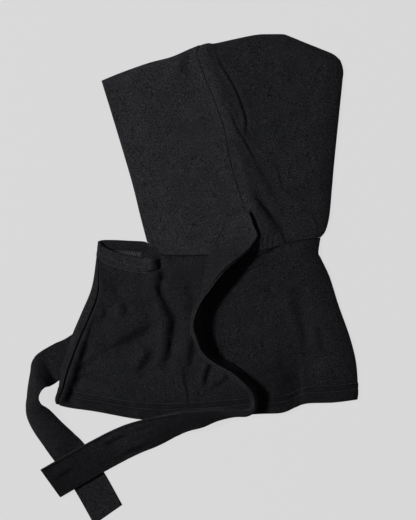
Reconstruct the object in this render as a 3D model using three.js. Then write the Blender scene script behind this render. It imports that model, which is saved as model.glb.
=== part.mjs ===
// Hijab underscarf cap: a jersey hood with a short neck cape and two ties, lying flat on its right side.
// The face points to -X, the crown to +Y and the left side of the hood to +Z. Sizes are millimetres.
import * as THREE from "three";

// Hood
const FACE_HEIGHT = 190; // neck seam to brow, straight up
const BROW_REACH = 64; // how far the brow is ahead of the neck
const HOOD_DEPTH = 265; // brow to the back of the crown
const HOOD_HEIGHT = 240; // neck seam to the top of the crown
const NECK_WIDTH = 176; // neck seam from face edge to nape, laid flat
const NAPE_RISE = 19; // nape above the front end of the neck seam
const FAR_SLIP = 14; // how far the lower layer's face edge peeks out ahead
const FAR_RISE = 13; // front end of the lower neck seam above the upper one

// Cape
const CHIN_REACH = 67; // chin corner ahead of the neck
const CHIN_RISE = 15; // chin corner above the neck
const HEM_LEAD = 46; // hem corner ahead of the chin corner
const HEM_WIDTH = 329; // hem laid flat, corner to corner
const CAPE_DROP = 181; // neck to the lowest point of the hem
const HEM_DEPTH = 19; // turned and stitched hem
const CHIN_BAND = 17; // turned and stitched band under the chin
const FRONT_STRIP = 13; // cloth between the front fold and the centre front seam
const FRONT_STEP = 2.5; // how far the seam edge stands above that strip
const STEP_START = 0.3; // share of the way down the cape over which that height is reached
const STEP_REACH = 0.09; // share of the hem's width over which it dies away behind the seam

// Ties
const TIE_WIDTH = 37;
const LEFT_TIE_LENGTH = 498;
const RIGHT_TIE_LENGTH = 470;

// Cloth and how it lies
const JERSEY = 1.2; // one layer
const PANEL_THICKNESS = 2.2; // front panel, two layers
const HEM_THICKNESS = 2.2; // hem and chin band, two layers
const TIE_THICKNESS = 2.2; // ties, two layers
const SEAM_GAP = 0.6; // between the edges that a seam joins
const LAY_GAP = 0.35; // between a tie and the cloth that it touches
const BODY_LOFT = 12; // middle of the upper layer above the table
const EDGE_LOFT = 9; // the same at the face edge, chin and hem
const EDGE_REACH = 40; // how far in the upper layer sinks to an open edge
const NEAR_ROUND = 22; // how far in the upper layer rounds down to a fold
const FAR_ROUND = 5; // the same for the lower layer
const FOLD_WIDTH = 10; // unit of the fold widths
const FOLD_FADE = 0.7; // share of a fold's height that is gone at its two ends
const FOLD_LEVEL = TIE_THICKNESS + LAY_GAP + JERSEY / 2; // middle of a folded edge

// Mesh steps
const CELL = 11; // across the upper layer
const FAR_CELL = 16; // across the lower layer, which lies flat
const TIE_STEP = 9; // along a tie
const TIE_STRIPS = 4; // across a tie
const OUTLINE_STEPS = 40; // points kept of each outline

const table = (columns, rows) =>
  rows.map((row) => Object.fromEntries(columns.map((name, i) => [name, row[i]])));
const spot = (x, y) => new THREE.Vector2(x, y);
const atHeight = (plan, z) => new THREE.Vector3(plan.x, plan.y, z);
const mix = THREE.MathUtils.lerp;
const smooth = (x) => THREE.MathUtils.smoothstep(x, 0, 1);

// Corners of the outline, from the front end of the upper neck seam
const NECK_FRONT = spot(0, 0);
const NAPE = spot(NECK_WIDTH, NAPE_RISE);
const BROW = spot(-BROW_REACH, FACE_HEIGHT);
const SEAM_TOP = spot(BROW.x + 0.408 * HOOD_DEPTH, 0.956 * HOOD_HEIGHT);
const CROWN_BACK = spot(BROW.x + 0.988 * HOOD_DEPTH, 0.888 * HOOD_HEIGHT);
const FAR_NECK_FRONT = spot(-FAR_SLIP, FAR_RISE);
const CHIN = spot(-CHIN_REACH, CHIN_RISE);
const HEM_FRONT = spot(CHIN.x - HEM_LEAD, -0.908 * CAPE_DROP);
const HEM_BACK = spot(HEM_FRONT.x + HEM_WIDTH, -0.881 * CAPE_DROP);
const NEAR_FOOT_SHARE = 0.565; // where the panel seam meets the upper neck seam
const FAR_FOOT_SHARE = 0.597; // and the lower one
const TIE_ROOT_SHARE = 0.197; // where a tie is sewn in, up the panel seam

// An edge runs from corner to corner; bow is how far it swings to the left, as a share of its length
function edge(start, end, rows) {
  const along = end.clone().sub(start);
  const left = spot(-along.y, along.x);
  const inner = table(["along", "bow"], rows).map((row) =>
    start.clone().addScaledVector(along, row.along).addScaledVector(left, row.bow),
  );
  return new THREE.SplineCurve([start, ...inner, end]);
}

const crownFold = edge(BROW, SEAM_TOP, [
  [0.21, 0.008], [0.484, 0.005], [0.7, -0.015], [0.886, -0.005],
]);
const crownSeam = edge(SEAM_TOP, CROWN_BACK, [
  [0.055, 0.021], [0.105, 0.025], [0.271, 0.08], [0.392, 0.117], [0.487, 0.131],
  [0.579, 0.14], [0.616, 0.133], [0.716, 0.104], [0.857, 0.064], [0.947, 0.037],
]);
const backSeam = edge(NAPE, CROWN_BACK, [
  [0.04, -0.024], [0.129, -0.036], [0.286, -0.033], [0.463, -0.029], [0.865, -0.025], [0.944, -0.023],
]);
const faceNear = edge(NECK_FRONT, BROW, [[0.267, 0.005], [0.438, 0.007], [0.708, 0.006]]);
const faceFar = edge(FAR_NECK_FRONT, BROW, [[0.168, -0.003], [0.382, -0.01], [0.706, -0.006]]);
const neckNear = edge(NECK_FRONT, NAPE, [
  [0.153, -0.021], [0.313, -0.035], [0.493, -0.051], [0.586, -0.048], [0.726, -0.026], [0.815, -0.009],
]);
const neckFar = edge(FAR_NECK_FRONT, NAPE, [
  [0.129, -0.025], [0.302, -0.042], [0.533, -0.05], [0.765, -0.035],
]);
const chinNear = edge(CHIN, NECK_FRONT, [
  [0.091, -0.066], [0.206, -0.096], [0.385, -0.122], [0.623, -0.123], [0.833, -0.089],
]);
const chinFar = edge(CHIN, FAR_NECK_FRONT, [[0.089, 0.024], [0.322, 0.034], [0.641, 0.03], [0.925, 0.026]]);
const capeFront = edge(CHIN, HEM_FRONT, [
  [0.103, 0.013], [0.279, 0.03], [0.444, 0.008], [0.577, -0.012],
  [0.74, -0.024], [0.825, -0.023], [0.908, -0.013], [0.972, -0.014],
]);
const capeBack = edge(NAPE, HEM_BACK, [
  [0.088, -0.033], [0.125, -0.026], [0.248, 0.001], [0.422, 0.016],
  [0.609, 0.039], [0.748, 0.045], [0.853, 0.035], [0.957, 0.015],
]);
const hemNear = edge(HEM_FRONT, HEM_BACK, [
  [0.04, -0.012], [0.133, -0.027], [0.272, -0.054], [0.377, -0.059], [0.511, -0.055], [0.661, -0.043],
  [0.748, -0.04], [0.795, -0.023], [0.835, -0.01], [0.923, -0.008],
]);
const hemFar = edge(HEM_FRONT, HEM_BACK, [
  [0.133, -0.021], [0.272, -0.046], [0.377, -0.051], [0.511, -0.047], [0.661, -0.036], [0.835, -0.01],
]);
const panelRows = [
  [0.107, -0.009], [0.197, -0.017], [0.233, -0.018], [0.318, -0.014], [0.436, -0.009],
  [0.57, -0.017], [0.679, -0.01], [0.793, 0.004], [0.896, 0.018], [0.962, 0.024],
];
const panelNear = edge(neckNear.getPointAt(NEAR_FOOT_SHARE), SEAM_TOP, panelRows);
const panelFar = edge(neckFar.getPointAt(FAR_FOOT_SHARE), SEAM_TOP, panelRows);
const TIE_ROOT = panelNear.getPointAt(TIE_ROOT_SHARE);

// How wide the strip ahead of the centre front seam is, as a share of FRONT_STRIP down the cape
const FRONT_SEAM = table(["down", "width"], [
  [0, 0.2], [0.13, 0.55], [0.3, 1], [0.5, 0.98], [0.72, 0.78], [0.83, 0.63], [1, 0.3],
]);

// Main folds of the upper layer. height is a share of BODY_LOFT, a valley's is negative; ahead and behind
// are widths in FOLD_WIDTH towards the face and the back. Path points are shares across and up or down.
const foldColumns = ["name", "height", "ahead", "behind", "path"];
const HOOD_FOLDS = table(foldColumns, [
  ["seam_ridge", 0.15, 0.8, 0.8, [[0.399, 0.919], [0.453, 0.763], [0.524, 0.552], [0.598, 0.231]]],
  ["crown_pleat", 0.4, 1.5, 0.7, [[0.462, 0.942], [0.528, 0.804], [0.588, 0.662], [0.594, 0.561]]],
  ["lower_pleat", 0.3, 1.2, 0.7, [[0.536, 0.607], [0.582, 0.543], [0.648, 0.396]]],
  ["tie_valley", -0.3, 0.8, 0.8, [[0.619, 0.264], [0.669, 0.227], [0.752, 0.103]]],
  ["tie_hump", 0.25, 0.8, 0.8, [[0.598, 0.296], [0.64, 0.218], [0.698, 0.076]]],
  ["front_hollow", -0.22, 1.2, 0.8, [[0.349, 0.919], [0.387, 0.818], [0.42, 0.717]]],
]);
const CAPE_FOLDS = table(foldColumns, [
  ["chin_tuck", -0.35, 0.8, 0.8, [[0.329, 0.015], [0.329, 0.07], [0.336, 0.137]]],
  ["front_valley", -0.4, 0.8, 0.9, [[0.336, 0.119], [0.372, 0.325], [0.384, 0.453], [0.342, 0.678]]],
  ["front_ridge", 0.25, 0.8, 0.9, [[0.359, 0.204], [0.416, 0.465], [0.392, 0.763]]],
  ["chest_valley", -0.25, 0.8, 0.8, [[0.186, 0.204], [0.212, 0.313], [0.219, 0.459]]],
  ["chest_diagonal", -0.3, 0.8, 0.8, [[0.179, 0.556], [0.226, 0.514], [0.289, 0.435]]],
  ["lower_diagonal", -0.25, 0.8, 0.8, [[0.266, 0.696], [0.296, 0.623], [0.322, 0.55]]],
  ["back_soft", -0.2, 1.2, 1.4, [[0.776, 0.277], [0.799, 0.459], [0.826, 0.653]]],
  ["hem_pleat", -0.35, 1.7, 0.7, [[0.809, 0.714], [0.814, 0.799], [0.812, 0.951]]],
  ["corner_fold", -0.2, 0.8, 0.8, [[0.06, 0.738], [0.07, 0.811], [0.085, 0.896]]],
]);

// Ties, a row for each section. x and y place its middle from the tie's root, as shares of HEM_WIDTH and
// CAPE_DROP. turn is the way across it, roll tips it up about its length, arc is how far it curls, all in
// degrees, and wide is its width in TIE_WIDTH, less than 1 where it is gathered or folded lengthways.
const tieColumns = ["name", "x", "y", "turn", "roll", "arc", "wide"];
const LEFT_TIE = table(tieColumns, [
  ["root", 0.001, 0.005, -5, 0, 0, 0.2],
  ["spread", -0.007, 0.062, -18, 0, 0, 0.62],
  ["flat", -0.016, 0.14, -10, 0, 0, 1],
  ["lift", -0.042, 0.214, -12, 16, 10, 1],
  ["rise", -0.084, 0.294, -30, 44, -20, 0.92],
  ["steep", -0.111, 0.386, -30, 62, -25, 0.8],
  ["upright", -0.128, 0.463, -18, 76, -10, 0.68],
  ["lean", -0.145, 0.536, -2, 94, 10, 0.66],
  ["lean_more", -0.157, 0.618, -1, 108, 25, 0.7],
  ["kink", -0.161, 0.7, -4, 113, 30, 0.74],
  ["past_kink", -0.152, 0.767, -2, 112, 25, 0.74],
  ["bend", -0.134, 0.851, 12, 109, 20, 0.72],
  ["second_bend", -0.096, 0.91, 45, 107, 10, 0.72],
  ["wall_start", -0.046, 0.96, 56, 107, 5, 0.72],
  ["wall", -0.007, 1.018, 49, 107, 5, 0.7],
  ["wall_end", 0.019, 1.072, 34, 106, 5, 0.6],
  ["corner_start", 0.029, 1.12, 9, 105, 5, 0.48],
  ["corner", 0.031, 1.169, -20, 106, 5, 0.4],
  ["corner_end", 0.024, 1.203, -42, 108, 5, 0.4],
  ["hem_start", 0.002, 1.222, -70, 110, 10, 0.44],
  ["hem", -0.032, 1.221, -82, 110, 15, 0.52],
  ["hem_end", -0.093, 1.229, -80, 122, 15, 0.66],
  ["fall_start", -0.151, 1.256, -75, 130, 10, 0.8],
  ["fall", -0.197, 1.27, -72, 131, -10, 0.9],
  ["fall_end", -0.243, 1.296, -71, 136, -40, 0.97],
  ["floor_start", -0.301, 1.335, -70, 150, -60, 1],
  ["floor", -0.389, 1.395, -65, 165, -45, 1],
  ["crossing", -0.491, 1.488, -62, 168, -30, 1],
  ["end", -0.644, 1.649, -55, 172, -10, 1],
]);
const RIGHT_TIE = table(tieColumns, [
  ["root", 0.001, 0.005, -5, 0, 0, 0.2],
  ["spread", -0.02, 0.061, -27, 0, 0, 0.62],
  ["hidden_start", -0.067, 0.176, -43, 0, 0, 1],
  ["hidden_upper", -0.153, 0.31, -52, 0, 0, 1],
  ["hidden_middle", -0.27, 0.462, -54, 0, 0, 1],
  ["hidden_lower", -0.403, 0.638, -54, 0, 0, 1],
  ["hidden_end", -0.5, 0.773, -58, 0, 0, 1],
  ["edge", -0.565, 0.861, -62, 0, 0, 1],
  ["out", -0.608, 0.898, -61, 0, 0, 1],
  ["climb", -0.652, 0.944, -61, 0, 0, 1],
  ["crest_start", -0.675, 0.981, -53, 14, 65, 1],
  ["crest", -0.689, 1.029, -38, 48, 120, 1],
  ["crest_end", -0.699, 1.078, -21, 72, 145, 1],
  ["turn", -0.704, 1.125, -5, 82, 155, 1],
  ["down_start", -0.702, 1.176, 10, 64, 150, 1],
  ["down", -0.688, 1.231, 23, 30, 130, 1],
  ["down_end", -0.659, 1.308, 22, 14, 105, 1],
  ["floor_start", -0.62, 1.393, 25, 5, 65, 1],
  ["crossing", -0.58, 1.483, 31, 0, 0, 1],
  ["floor", -0.519, 1.644, 33, 0, 0, 1],
  ["end", -0.462, 1.828, 35, 0, 0, 1],
]);

// Distances in the plan
function toPath(point, path) {
  const nearest = { distance: Infinity, at: path[0], share: 0 };
  const line = new THREE.Vector2();
  for (let i = 1; i < path.length; i++) {
    line.subVectors(path[i], path[i - 1]);
    const dot = (point.x - path[i - 1].x) * line.x + (point.y - path[i - 1].y) * line.y;
    const t = THREE.MathUtils.clamp(dot / Math.max(line.lengthSq(), 1e-9), 0, 1);
    const at = path[i - 1].clone().addScaledVector(line, t);
    const distance = at.distanceTo(point);
    if (distance < nearest.distance) {
      Object.assign(nearest, { distance, at, share: (i - 1 + t) / (path.length - 1) });
    }
  }
  return nearest;
}
const trace = (curve) => curve.getSpacedPoints(OUTLINE_STEPS);
const closedEdges = [crownFold, crownSeam, backSeam, capeBack, capeFront].map(trace);
const openEdges = [faceNear, chinNear, hemNear].map(trace);
const toEdges = (point, edges) => Math.min(...edges.map((path) => toPath(point, path).distance));

// Share of the full height that cloth has reached at a distance in from a folded edge
const rounded = (distance, radius) => Math.sqrt(1 - (1 - Math.min(distance / radius, 1)) ** 2);

const placed = (folds, origin, across, up) =>
  folds.map((fold) => ({ ...fold, line: fold.path.map(([x, y]) => spot(origin + x * across, y * up)) }));
const folds = [
  ...placed(HOOD_FOLDS, BROW.x, HOOD_DEPTH, HOOD_HEIGHT),
  ...placed(CAPE_FOLDS, HEM_FRONT.x, HEM_WIDTH, -CAPE_DROP),
];

function foldHeight(point) {
  let sum = 0;
  for (const fold of folds) {
    const nearest = toPath(point, fold.line);
    const width = FOLD_WIDTH * (point.x < nearest.at.x ? fold.ahead : fold.behind);
    const fade = 1 - FOLD_FADE * (2 * nearest.share - 1) ** 4;
    sum += fold.height * fade * Math.exp(-((nearest.distance / width) ** 2));
  }
  return BODY_LOFT * sum;
}

// Height of the middle of the upper layer
function nearHeight(point) {
  const inward = smooth(toEdges(point, openEdges) / EDGE_REACH);
  const loft = mix(EDGE_LOFT, BODY_LOFT, inward) + foldHeight(point);
  return mix(FOLD_LEVEL, loft, rounded(toEdges(point, closedEdges), NEAR_ROUND));
}

// Cubic interpolation between the rows of a table. The route swings freely through its rows, and every
// other column stays between the values of the two rows that it is read from.
const freeSlope = (before, after) => (before + after) / 2;
const tightSlope = (before, after) => (before * after > 0 ? (2 * before * after) / (before + after) : 0);
function between(rows, position, names) {
  const i = Math.min(Math.floor(position), rows.length - 2);
  const t = position - i;
  const row = (k) => rows[THREE.MathUtils.clamp(k, 0, rows.length - 1)];
  const made = {};
  for (const name of names) {
    const [a, b, c, d] = [-1, 0, 1, 2].map((k) => row(i + k)[name]);
    const slope = name === "x" || name === "y" ? freeSlope : tightSlope;
    const start = slope(b - a, c - b);
    const end = slope(c - b, d - c);
    made[name] = b + t * (start + t * (3 * (c - b) - 2 * start - end + t * (2 * (b - c) + start + end)));
  }
  return made;
}

// Sections of a tie at even steps along its length
function tieSections(rows, length) {
  const FINE = 12; // steps between two rows
  const names = tieColumns.slice(1);
  const dense = [];
  for (let k = 0; k <= (rows.length - 1) * FINE; k++) {
    const section = between(rows, k / FINE, names);
    section.middle = spot(TIE_ROOT.x + section.x * HEM_WIDTH, TIE_ROOT.y - section.y * CAPE_DROP);
    section.along = k ? dense[k - 1].along + section.middle.distanceTo(dense[k - 1].middle) : 0;
    dense.push(section);
  }
  const last = dense.at(-1);
  const heading = last.middle.clone().sub(dense.at(-2).middle).normalize();
  const count = Math.round(length / TIE_STEP);
  return Array.from({ length: count + 1 }, (_, i) => {
    const along = (i / count) * length;
    if (along >= last.along) {
      return { ...last, middle: last.middle.clone().addScaledVector(heading, along - last.along) };
    }
    const k = dense.findIndex((section) => section.along > along);
    const t = (along - dense[k - 1].along) / (dense[k].along - dense[k - 1].along);
    const made = { middle: dense[k - 1].middle.clone().lerp(dense[k].middle, t) };
    for (const name of names) made[name] = mix(dense[k - 1][name], dense[k][name], t);
    return made;
  });
}

// A section across a tie: a circular arc, tipped by roll, centred over its middle with its low point at 0
function tieProfile(section) {
  const width = section.wide * TIE_WIDTH;
  const arc = THREE.MathUtils.degToRad(section.arc);
  const roll = THREE.MathUtils.degToRad(section.roll);
  const turn = THREE.MathUtils.degToRad(section.turn);
  const flat = Math.abs(arc) < 0.01;
  const points = Array.from({ length: TIE_STRIPS + 1 }, (_, i) => {
    const share = i / TIE_STRIPS - 0.5;
    const across = flat ? share * width : (width / arc) * Math.sin(share * arc);
    const bulge = flat ? 0 : (width / arc) * (Math.cos(share * arc) - Math.cos(arc / 2));
    return {
      side: across * Math.cos(roll) - bulge * Math.sin(roll),
      up: across * Math.sin(roll) + bulge * Math.cos(roll),
    };
  });
  const sides = points.map((point) => point.side);
  const centre = (Math.min(...sides) + Math.max(...sides)) / 2;
  const low = Math.min(...points.map((point) => point.up));
  return points.map(({ side, up }) => ({
    plan: section.middle.clone().add(spot(Math.cos(turn), Math.sin(turn)).multiplyScalar(side - centre)),
    up: up - low,
  }));
}

// A stretch of a tie that stands on edge is folded a little lengthways, and so narrower and thicker
const foldedThickness = ({ wide, roll }) =>
  TIE_THICKNESS * (1 + (1 - wide) * Math.sin(THREE.MathUtils.degToRad(roll)));
const evenThickness = () => TIE_THICKNESS;

// The middle surface of a tie, each section let down until it rests on what is below it
function tieSurface(sections, heightBelow, thicknessOf) {
  const profiles = sections.map(tieProfile);
  const rests = profiles.map((profile) =>
    Math.max(...profile.map(({ plan, up }) => heightBelow(plan) - up)),
  );
  const eased = rests.map((rest, i) => {
    const around = [rests[i - 1] ?? rest, rests[i + 1] ?? rest];
    return Math.max(rest, (around[0] + around[1]) / 2);
  });
  return profiles.map((profile, i) => {
    const clear = LAY_GAP + thicknessOf(sections[i]) / 2;
    return profile.map(({ plan, up }) => atHeight(plan, eased[i] + up + clear));
  });
}

const leftSections = tieSections(LEFT_TIE, LEFT_TIE_LENGTH);
const rightSections = tieSections(RIGHT_TIE, RIGHT_TIE_LENGTH);
const rightMiddle = rightSections.map((section) => section.middle);

// What lies under a place: the garment's outline, and the right tie where it passes below
const hoodOutline = [
  ...trace(faceNear), ...trace(crownFold), ...trace(crownSeam),
  ...trace(backSeam).reverse(), ...trace(neckNear).reverse(),
];
const capeOutline = [
  ...trace(chinNear), ...trace(neckNear), ...trace(capeBack),
  ...trace(hemNear).reverse(), ...trace(capeFront).reverse(),
];
function inside(point, outline) {
  let odd = false;
  outline.forEach((a, i) => {
    const b = outline[(i + 1) % outline.length];
    const crosses = a.y > point.y !== b.y > point.y;
    if (crosses && point.x < a.x + ((point.y - a.y) / (b.y - a.y)) * (b.x - a.x)) odd = !odd;
  });
  return odd;
}
function topAt(point) {
  if (inside(point, hoodOutline) || inside(point, capeOutline)) {
    return nearHeight(point) + Math.max(PANEL_THICKNESS, HEM_THICKNESS, JERSEY) / 2;
  }
  const overTie = toPath(point, rightMiddle).distance < TIE_WIDTH / 2;
  return overTie ? LAY_GAP + TIE_THICKNESS : 0;
}
// The highest spot within a tie's step, so that cloth laid there bridges small hollows
function highestNear(point) {
  const reach = TIE_STEP;
  const ring = Array.from({ length: 8 }, (_, i) => (i * Math.PI) / 4);
  const around = ring.map((angle) =>
    spot(point.x + reach * Math.cos(angle), point.y + reach * Math.sin(angle)),
  );
  return Math.max(topAt(point), ...around.map(topAt));
}

// Height of the middle of the lower layer, which lies on the table and over the hidden part of the right tie
function farHeight(point, thickness) {
  const flat = mix(FOLD_LEVEL, thickness / 2, rounded(toEdges(point, closedEdges), FAR_ROUND));
  const clear = TIE_THICKNESS + LAY_GAP + thickness / 2;
  const beside = toPath(point, rightMiddle).distance - TIE_WIDTH / 2 - FAR_CELL;
  return mix(Math.max(flat, clear), flat, smooth(beside / FAR_CELL));
}

// A patch of cloth between four edges, each a function from a share to a spot
const run = (curve, from = 0, to = 1) => (share) => curve.getPointAt(mix(from, to, share));
function joined(first, second) {
  const path = new THREE.CurvePath();
  path.add(first);
  path.add(second);
  return (share) => path.getPoint(Math.min(share, 1));
}
const cornerShare = (first, second) => first.getLength() / (first.getLength() + second.getLength());
function patch(bottom, top, left, right) {
  return (u, v) => {
    const across = bottom(u).lerp(top(u), v);
    const up = left(v).lerp(right(v), u);
    const corners = bottom(0).lerp(bottom(1), u).lerp(top(0).lerp(top(1), u), v);
    return across.add(up).sub(corners);
  };
}

// Shares along a length: even cells, and finer steps where the cloth rounds into a fold at either end
function steps(length, cell, startRound, endRound) {
  const bend = (round) =>
    round ? [0, 1 / 3, 2 / 3].map((k) => round * (1 - Math.cos((k * Math.PI) / 2))) : [0];
  const start = bend(startRound);
  const end = bend(endRound).map((d) => length - d).reverse();
  const from = startRound || 0;
  const to = length - (endRound || 0);
  const count = Math.max(2, Math.round((to - from) / cell));
  const inner = Array.from({ length: count + 1 }, (_, i) => mix(from, to, i / count));
  if (!startRound) inner.shift();
  if (!endRound) inner.pop();
  return [...start, ...inner, ...end].map((d) => d / length);
}

// Moves a line of points towards the next line by half a seam gap
function trim(line, next) {
  line.forEach((point, i) => {
    const way = next[i].plan.clone().sub(point.plan);
    point.plan.addScaledVector(way.normalize(), SEAM_GAP / 2);
  });
}

// A closed sheet of cloth from rows of { middle, thickness, upright } points. A looped sheet joins its last
// column to its first. At an upright point the sheet stands on edge.
function clothSheet(rows, looped = false) {
  const height = rows.length;
  const width = rows[0].length;
  const at = (i, j) => {
    const row = THREE.MathUtils.clamp(i, 0, height - 1);
    const column = looped ? (j + width) % width : THREE.MathUtils.clamp(j, 0, width - 1);
    return rows[row][column].middle;
  };
  const positions = [];
  for (const side of [1, -1]) {
    for (let i = 0; i < height; i++) {
      for (let j = 0; j < width; j++) {
        const across = at(i, j + 1).clone().sub(at(i, j - 1));
        const down = at(i + 1, j).clone().sub(at(i - 1, j));
        const normal = across.cross(down);
        if (rows[i][j].upright) normal.z = 0;
        normal.setLength((side * rows[i][j].thickness) / 2);
        positions.push(...at(i, j).clone().add(normal).toArray());
      }
    }
  }
  const count = height * width;
  const corner = (side, i, j) => side * count + i * width + (j % width);
  const spotOf = (index) => new THREE.Vector3().fromArray(positions, index * 3);
  const faces = [];
  const quad = (a, b, c, d) => {
    const shorter = spotOf(a).distanceTo(spotOf(c)) <= spotOf(b).distanceTo(spotOf(d));
    faces.push(...(shorter ? [a, b, c, a, c, d] : [a, b, d, b, c, d]));
  };
  const columns = looped ? width : width - 1;
  for (let i = 0; i < height - 1; i++) {
    for (let j = 0; j < columns; j++) {
      quad(corner(0, i, j), corner(0, i, j + 1), corner(0, i + 1, j + 1), corner(0, i + 1, j));
      quad(corner(1, i, j), corner(1, i + 1, j), corner(1, i + 1, j + 1), corner(1, i, j + 1));
    }
  }
  for (let j = 0; j < columns; j++) {
    const end = height - 1;
    quad(corner(1, 0, j), corner(1, 0, j + 1), corner(0, 0, j + 1), corner(0, 0, j));
    quad(corner(0, end, j), corner(0, end, j + 1), corner(1, end, j + 1), corner(1, end, j));
  }
  for (let i = 0; i < height - 1 && !looped; i++) {
    const end = width - 1;
    quad(corner(0, i, 0), corner(0, i + 1, 0), corner(1, i + 1, 0), corner(1, i, 0));
    quad(corner(1, i, end), corner(1, i + 1, end), corner(0, i + 1, end), corner(0, i, end));
  }
  const geometry = new THREE.BufferGeometry();
  geometry.setAttribute("position", new THREE.Float32BufferAttribute(positions, 3));
  geometry.setIndex(outward(positions, faces));
  geometry.computeVertexNormals();
  return geometry;
}

// The faces, turned round if they enclose a negative volume
function outward(positions, faces) {
  const [a, b, c] = [new THREE.Vector3(), new THREE.Vector3(), new THREE.Vector3()];
  let volume = 0;
  for (let i = 0; i < faces.length; i += 3) {
    [a, b, c].forEach((point, k) => point.fromArray(positions, faces[i + k] * 3));
    volume += a.dot(b.cross(c));
  }
  if (volume > 0) return faces;
  return faces.flatMap((_, i) => (i % 3 ? [] : [faces[i], faces[i + 2], faces[i + 1]]));
}

// Front panel: both sides of the face in one piece, folded over the top of the head
function frontPanel() {
  const near = patch(run(neckNear, 0, NEAR_FOOT_SHARE), run(crownFold), run(faceNear), run(panelNear));
  const far = patch(run(neckFar, 0, FAR_FOOT_SHARE), run(crownFold), run(faceFar), run(panelFar));
  const columns = steps(crownFold.getLength(), CELL);
  const nearRows = steps(panelNear.getLength(), CELL, 0, NEAR_ROUND);
  const farRows = steps(panelFar.getLength(), FAR_CELL, 0, FAR_ROUND).reverse().slice(1);
  const rows = [
    ...nearRows.map((v) => columns.map((u) => ({ plan: near(u, v), far: false }))),
    ...farRows.map((v) => columns.map((u) => ({ plan: far(u, v), far: true }))),
  ];
  trim(rows[0], rows[1]);
  trim(rows.at(-1), rows.at(-2));
  for (const row of rows) trim([row.at(-1)], [row.at(-2)]);
  return rows.map((row) =>
    row.map(({ plan, far }) => ({
      middle: atHeight(plan, far ? farHeight(plan, PANEL_THICKNESS) : nearHeight(plan)),
      thickness: PANEL_THICKNESS,
    })),
  );
}

// Back panels: the left one lies on top, and its curved rim meets the right one's along the crown and back
function backPanel(isFar) {
  const neck = isFar ? run(neckFar, FAR_FOOT_SHARE, 1) : run(neckNear, NEAR_FOOT_SHARE, 1);
  const surface = patch(neck, run(crownSeam), run(isFar ? panelFar : panelNear), run(backSeam));
  const cell = isFar ? FAR_CELL : CELL;
  const round = isFar ? FAR_ROUND : NEAR_ROUND;
  const columns = steps(crownSeam.getLength(), cell, 0, round);
  const levels = steps((isFar ? panelFar : panelNear).getLength(), cell, 0, round);
  const rows = levels.map((v) =>
    columns.map((u) => ({ plan: surface(u, v), upright: u === 1 || v === 1 })),
  );
  trim(rows[0], rows[1]);
  for (const row of rows) trim([row[0]], [row[1]]);
  const rim = ((isFar ? -1 : 1) * SEAM_GAP) / 2;
  return rows.map((row) =>
    row.map(({ plan, upright }) => {
      const height = isFar ? farHeight(plan, JERSEY) : nearHeight(plan);
      const middle = upright ? FOLD_LEVEL + rim : height;
      return { middle: atHeight(plan, middle), thickness: JERSEY, upright };
    }),
  );
}

// Cape: one band all the way round, folded at the front and at the back, with a seam near the front fold
function cape() {
  const near = patch(run(hemNear), joined(chinNear, neckNear), reversed(capeFront), reversed(capeBack));
  const far = patch(run(hemFar), joined(chinFar, neckFar), reversed(capeFront), reversed(capeBack));
  const drop = capeBack.getLength();
  const levels = [
    0,
    HEM_DEPTH / 2 / drop,
    HEM_DEPTH / drop,
    ...steps(drop - HEM_DEPTH - CHIN_BAND, CELL)
      .slice(1, -1)
      .map((v) => mix(HEM_DEPTH, drop - CHIN_BAND, v) / drop),
    1 - CHIN_BAND / drop,
    1 - CHIN_BAND / 2 / drop,
    1,
  ];
  const nearCorner = cornerShare(chinNear, neckNear);
  const farCorner = cornerShare(chinFar, neckFar);
  const seamEdge = JERSEY / HEM_WIDTH; // half the width of the seam's step
  const seamAt = (v) => frontSeamWidth(1 - v) / HEM_WIDTH;
  const mainCorner = (nearCorner - seamAt(1)) / (1 - seamAt(1));
  const nearColumns = withCorner(steps(HEM_WIDTH, CELL, 0, NEAR_ROUND).slice(1), mainCorner);
  const farColumns = withCorner(steps(HEM_WIDTH, FAR_CELL, FAR_ROUND, FAR_ROUND), farCorner).slice(1, -1);
  const rows = levels.map((v) => {
    const seam = seamAt(v);
    const strip = [0, seam / 2, seam - seamEdge];
    const main = [seam + seamEdge, ...nearColumns.map((share) => mix(seam, 1, share))];
    const points = [];
    for (const u of strip) points.push({ plan: near(u, v), u, v });
    for (const u of main) points.push({ plan: near(u, v), u, v, past: true });
    for (const u of farColumns.toReversed()) points.push({ plan: far(u, v), u, v, isFar: true });
    return points;
  });
  trim(rows.at(-1), rows.at(-2));
  return rows.map((row) =>
    row.map(({ plan, u, v, past, isFar }) => {
      const hem = v <= HEM_DEPTH / drop;
      const band = v >= 1 - CHIN_BAND / drop && u < (isFar ? farCorner : nearCorner);
      const thickness = hem || band ? HEM_THICKNESS : JERSEY;
      const height = isFar ? farHeight(plan, thickness) : nearHeight(plan);
      const step = past ? frontStep(u, v) : 0;
      return { middle: atHeight(plan, height + step), thickness };
    }),
  );
}
const reversed = (curve) => (share) => curve.getPointAt(1 - share);
function withCorner(shares, corner) {
  const inner = shares.slice(1, -1);
  const nearest = inner.reduce((best, share) =>
    Math.abs(share - corner) < Math.abs(best - corner) ? share : best,
  );
  return shares.map((share) => (share === nearest ? corner : share));
}
function frontSeamWidth(down) {
  const i = Math.max(1, FRONT_SEAM.findIndex((row) => row.down >= down));
  const [a, b] = [FRONT_SEAM[i - 1], FRONT_SEAM[i]];
  return FRONT_STRIP * mix(a.width, b.width, (down - a.down) / (b.down - a.down));
}
function frontStep(u, v) {
  const opening = smooth((1 - v) / STEP_START);
  return FRONT_STEP * opening * Math.exp(-u / STEP_REACH) * (1 - smooth(u / (3 * STEP_REACH)));
}

// Ties: the right one lies on the table and under the garment, the left one on top of everything
function tie(sections, heightBelow, thicknessOf) {
  return tieSurface(sections, heightBelow, thicknessOf).map((row, i) =>
    row.map((middle) => ({ middle, thickness: thicknessOf(sections[i]) })),
  );
}

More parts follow.
